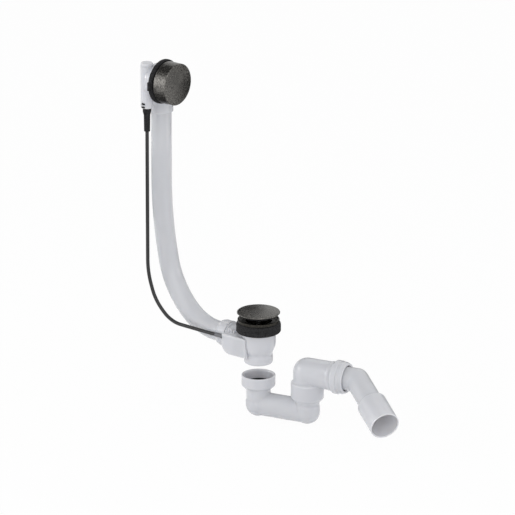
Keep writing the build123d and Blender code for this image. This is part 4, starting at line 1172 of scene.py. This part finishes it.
@dataclass
class Waste:
    """White waste body with its lever chamber, thick gasket and gunmetal flange."""

    origin: Point = (0.0, 0.0, 0.0)
    throat: float = 22.0
    tail: float = 24.5
    tail_length: float = 16.0
    rim: float = 35.0
    rim_height: float = 5.0
    rim_under: float = 1.2
    rim_shoulder: float = 2.5
    dish: float = 31.0
    dish_drop: float = 0.6
    dish_floor: float = 29.0
    floor_height: float = 1.5
    stem_bore: float = 4.1
    hub: float = 7.5
    spoke_half: float = 1.5
    spoke_height: float = 6.0
    spoke_root: float = 0.6
    spoke_bite: float = 0.5
    spoke_round: float = 0.5
    gasket: float = 37.3
    gasket_bore: float = 24.7
    gasket_foot: float = 17.5
    gasket_cover: float = 8.0
    gasket_groove: float = 0.7
    groove_depth: float = 9.4
    shoulder_radius: float = 33.0
    shoulder_drop: float = 5.5
    shoulder_steps: int = 8
    skirt_bore: float = 29.2
    skirt_top: float = 12.5
    skirt_room: float = 33.5
    cup_reach: float = 30.0
    cup_pinch: float = 0.97

    def flange(self, finishes: Finishes) -> None:
        """Turns the flange and builds the strainer cross with the stem's guide.

        Args:
            finishes: The set's finishes.
        """
        # The flange's coat is drawn darker than the knob's: painted shade of the raised cap over
        # the dish.
        metal = finishes.get(finishes.flange_coat_with_painted_shade)
        foot, top = -self.tail_length, -self.tail_length + self.spoke_height
        ring = Turning(self.origin).turn("flange_ring", [
            (self.throat, foot, 0.4), (self.tail, foot, 0.4), (self.tail, 0.0, 0.3),
            (self.rim - self.rim_under, 0.0, 1.0), (self.rim, 0.2, 1.0),
            (self.rim, self.rim_height - 0.2, 2.4),
            (self.rim - self.rim_shoulder, self.rim_height, 1.6),
            (self.dish, self.rim_height - self.dish_drop, 0.8),
            (self.dish_floor, self.floor_height, 0.8), (self.throat, self.floor_height, 0.6),
        ])
        seat(ring, Body.WASTE, metal, ("waste_flange",))
        guide = Turning(self.origin).turn("stem_guide", [
            (self.stem_bore, foot, 0.3), (self.hub, foot, 0.5),
            (self.hub, top, 0.8), (self.stem_bore, top, 0.5),
        ], segments=72)
        seat(guide, Body.WASTE, metal)
        half = self.spoke_half
        root, reach = self.hub - self.spoke_root, self.throat + self.spoke_bite
        spokes = (
            ("spoke_east", (root, -half, foot), (reach, half, top)),
            ("spoke_west", (-reach, -half, foot), (-root, half, top)),
            ("spoke_north", (-half, root, foot), (half, reach, top)),
            ("spoke_south", (-half, -reach, foot), (half, -root, top)),
        )
        for name, low, high in spokes:
            spoke = rounded_box(name, low, high, self.spoke_round)
            seat(spoke, Body.WASTE, metal)

    def chamber_cover(self, white: Material) -> None:
        """Builds the lever chamber's cover, with its edge at the cup drawn tight against it.

        Args:
            white: The white plastic.
        """
        cover = moulded_copy("chamber_cover", "lever_cover", 0.6, 4)
        for vertex in cover.data.vertices:
            place = cover.matrix_world @ vertex.co
            if place.x > -self.cup_reach * MM and place.xy.length < self.cup_reach * MM:
                vertex.co.xy *= self.cup_pinch
        seat(cover, Body.WASTE, white, ("lever_cover",))

    def build(self, finishes: Finishes) -> None:
        """Builds the waste's pieces.

        Args:
            finishes: The set's finishes.
        """
        white = finishes.get(finishes.white)
        body = moulded_copy("waste_moulding", "waste_body", 0.75, 5)
        seat(body, Body.WASTE, white, ("waste_body",))
        self.chamber_cover(white)
        bulge = self.gasket - self.shoulder_radius
        shoulder = []
        for step in range(self.shoulder_steps + 1):
            turn = math.pi / 2 * step / self.shoulder_steps
            out = self.shoulder_radius + bulge * math.sin(turn)
            shoulder.append((out, self.shoulder_drop * (math.cos(turn) - 1.0)))
        groove = self.gasket_groove
        gasket = Turning(self.origin).turn("bath_gasket", [
            (self.gasket_bore, 0.0, 0.3), *shoulder,
            (self.gasket, groove - self.groove_depth, 0.2),
            (self.gasket - groove, -self.groove_depth, 0.3),
            (self.gasket, -groove - self.groove_depth, 0.2),
            (self.gasket, -self.gasket_foot, 3.0),
            (self.skirt_bore, -self.gasket_foot, 0.6), (self.skirt_bore, -self.skirt_top),
            (self.skirt_room, -self.skirt_top), (self.skirt_room, -self.gasket_cover),
            (self.gasket_bore, -self.gasket_cover),
        ])
        rubber = finishes.get(finishes.rubber)
        seat(gasket, Body.WASTE, rubber, ("waste_gasket",))
        self.flange(finishes)
        dress_nodes(("lift_lever", "cable_crank"), finishes.get(finishes.acetal))
        dress_nodes(("lever_shaft",), finishes.get(finishes.steel))


@dataclass
class Plug:
    """Raised plug: a domed gunmetal cap, its seal and its guide rod."""

    radius: float = 36.0
    base: float = 13.6
    top: float = 17.6
    dome: float = 2.5
    wall: float = 2.0
    edge: float = 1.2
    rim_width: float = 6.0
    undercut: float = 3.6
    undercut_height: float = 1.8
    boss: float = 7.0
    boss_drop: float = 3.0
    stem_bore: float = 4.1
    stem_seat: float = 1.0
    crown_radii: tuple[float, ...] = (0.0, 6.0, 12.0, 18.0, 24.0, 30.0)

    def build(self, finishes: Finishes) -> None:
        """Builds the cap and dresses the seal and the rod.

        Args:
            finishes: The set's finishes.
        """
        flat = self.radius - self.edge
        recess = self.radius - self.rim_width
        under = self.top - self.wall
        boss_foot, seat_height = self.base - self.boss_drop, self.base + self.stem_seat
        crown = [
            (radius, self.top + self.dome * (1 - (radius / flat) ** 2))
            for radius in self.crown_radii
        ]
        cap = Turning((0.0, 0.0, 0.0)).turn("plug_crown", [
            *crown,
            (flat, self.top, 1.0), (self.radius, self.top - self.edge, 0.9),
            (self.radius, self.base + self.undercut_height, 0.8),
            (self.radius - self.undercut, self.base, 0.6),
            (recess, self.base, 0.3), (recess, under), (self.boss, under),
            (self.boss, boss_foot, 0.4), (self.stem_bore, boss_foot),
            (self.stem_bore, seat_height), (0.0, seat_height),
        ], closed=False, segments=160)
        seat(cap, Body.PLUG, finishes.get(finishes.gunmetal), ("plug_cap",))
        dress_nodes(("plug_seal",), finishes.get(finishes.rubber))
        dress_nodes(("plug_stem",), finishes.get(finishes.steel))


@dataclass
class Trap:
    """Low trap: inlet nut, base with its two legs, elbow and outlet nut."""

    top: float = -93.7
    nut: float = 28.3
    nut_bore: float = 24.3
    nut_lead: float = 1.3
    nut_lead_depth: float = 2.4
    nut_cone: float = -111.0
    nut_waist: float = 23.3
    nut_lip: float = 20.5
    nut_floor: float = -113.5
    nut_foot: float = -116.0
    washer: float = 24.2
    washer_bore: float = 17.0
    washer_foot: float = -110.0
    washer_edge: float = -108.9
    washer_top: float = -106.5
    elbow: Point = (88.43, 18.8, -75.0)
    run: Point = (0.97815, 0.20791, 0.0)
    union_bore: float = 24.7
    union_lip: float = 21.8

    def build(self, finishes: Finishes) -> None:
        """Builds the trap's pieces.

        Args:
            finishes: The set's finishes.
        """
        white = finishes.get(finishes.white)
        nut = Turning((0.0, 0.0, 0.0)).turn("inlet_nut", [
            (self.nut_bore + self.nut_lead, self.top, 0.4), (self.nut, self.top, 0.9),
            (self.nut, self.nut_cone, 1.6), (self.nut_waist, self.nut_foot, 0.8),
            (self.nut_lip, self.nut_foot, 0.3), (self.nut_lip, self.nut_floor),
            (self.nut_bore, self.nut_floor), (self.nut_bore, self.top - self.nut_lead_depth, 0.8),
        ])
        seat(nut, Body.TRAP_COUPLING, white, ("trap_inlet_nut",))
        washer = Turning((0.0, 0.0, 0.0)).turn("inlet_washer", [
            (self.washer_bore, self.washer_foot, 0.4), (self.washer, self.washer_foot, 0.3),
            (self.washer, self.washer_edge, 0.3), (self.washer_bore, self.washer_top, 0.6),
        ])
        rubber = finishes.get(finishes.rubber)
        seat(washer, Body.TRAP_COUPLING, rubber, ("trap_inlet_seal",))
        base = moulded_copy("trap_moulding", "trap_base", 0.95, 6)
        seat(base, Body.TRAP, white, ("trap_base",))
        elbow = moulded_copy("elbow_moulding", "trap_elbow", 0.85, 7)
        seat(elbow, Body.ELBOW, white, ("trap_elbow",))
        ring = Turning(self.elbow, self.run).turn("outlet_union", [
            (self.union_bore, 50.0, 0.4), (25.8, 50.0, 0.6), (self.nut, 53.6, 0.9),
            (self.nut, 61.6, 0.9), (27.2, 61.6, 0.5), (27.2, 67.5, 1.6), (25.2, 73.5, 0.8),
            (self.union_lip, 73.5, 0.4), (self.union_lip, 69.6), (self.union_bore, 69.6),
        ])
        seat(ring, Body.ELBOW, white, ("outlet_nut",))
        dress_nodes(("riser_seal", "outlet_seal"), rubber)


@dataclass
class Outlet:
    """Bend at the outlet with its wide pipe end."""

    grid_mm: float = 1.0
    passes: int = 6

    def build(self, finishes: Finishes) -> None:
        """Builds the bend.

        Args:
            finishes: The set's finishes.
        """
        white = finishes.get(finishes.white)
        bend = moulded_copy("outlet_moulding", "outlet_bend", self.grid_mm, self.passes)
        seat(bend, Body.OUTLET, white, ("outlet_bend",))


def main() -> None:
    """Builds the studio and every sub-assembly in order."""
    Studio().build()
    finishes = Finishes()
    assemblies = (
        OverflowHead(), OverflowPipe(), ControlCable(), Waste(), Plug(), Trap(), Outlet()
    )
    for assembly in assemblies:
        assembly.build(finishes)
        LOG.info("%s done", type(assembly).__name__)


if __name__ == "__main__":
    main()
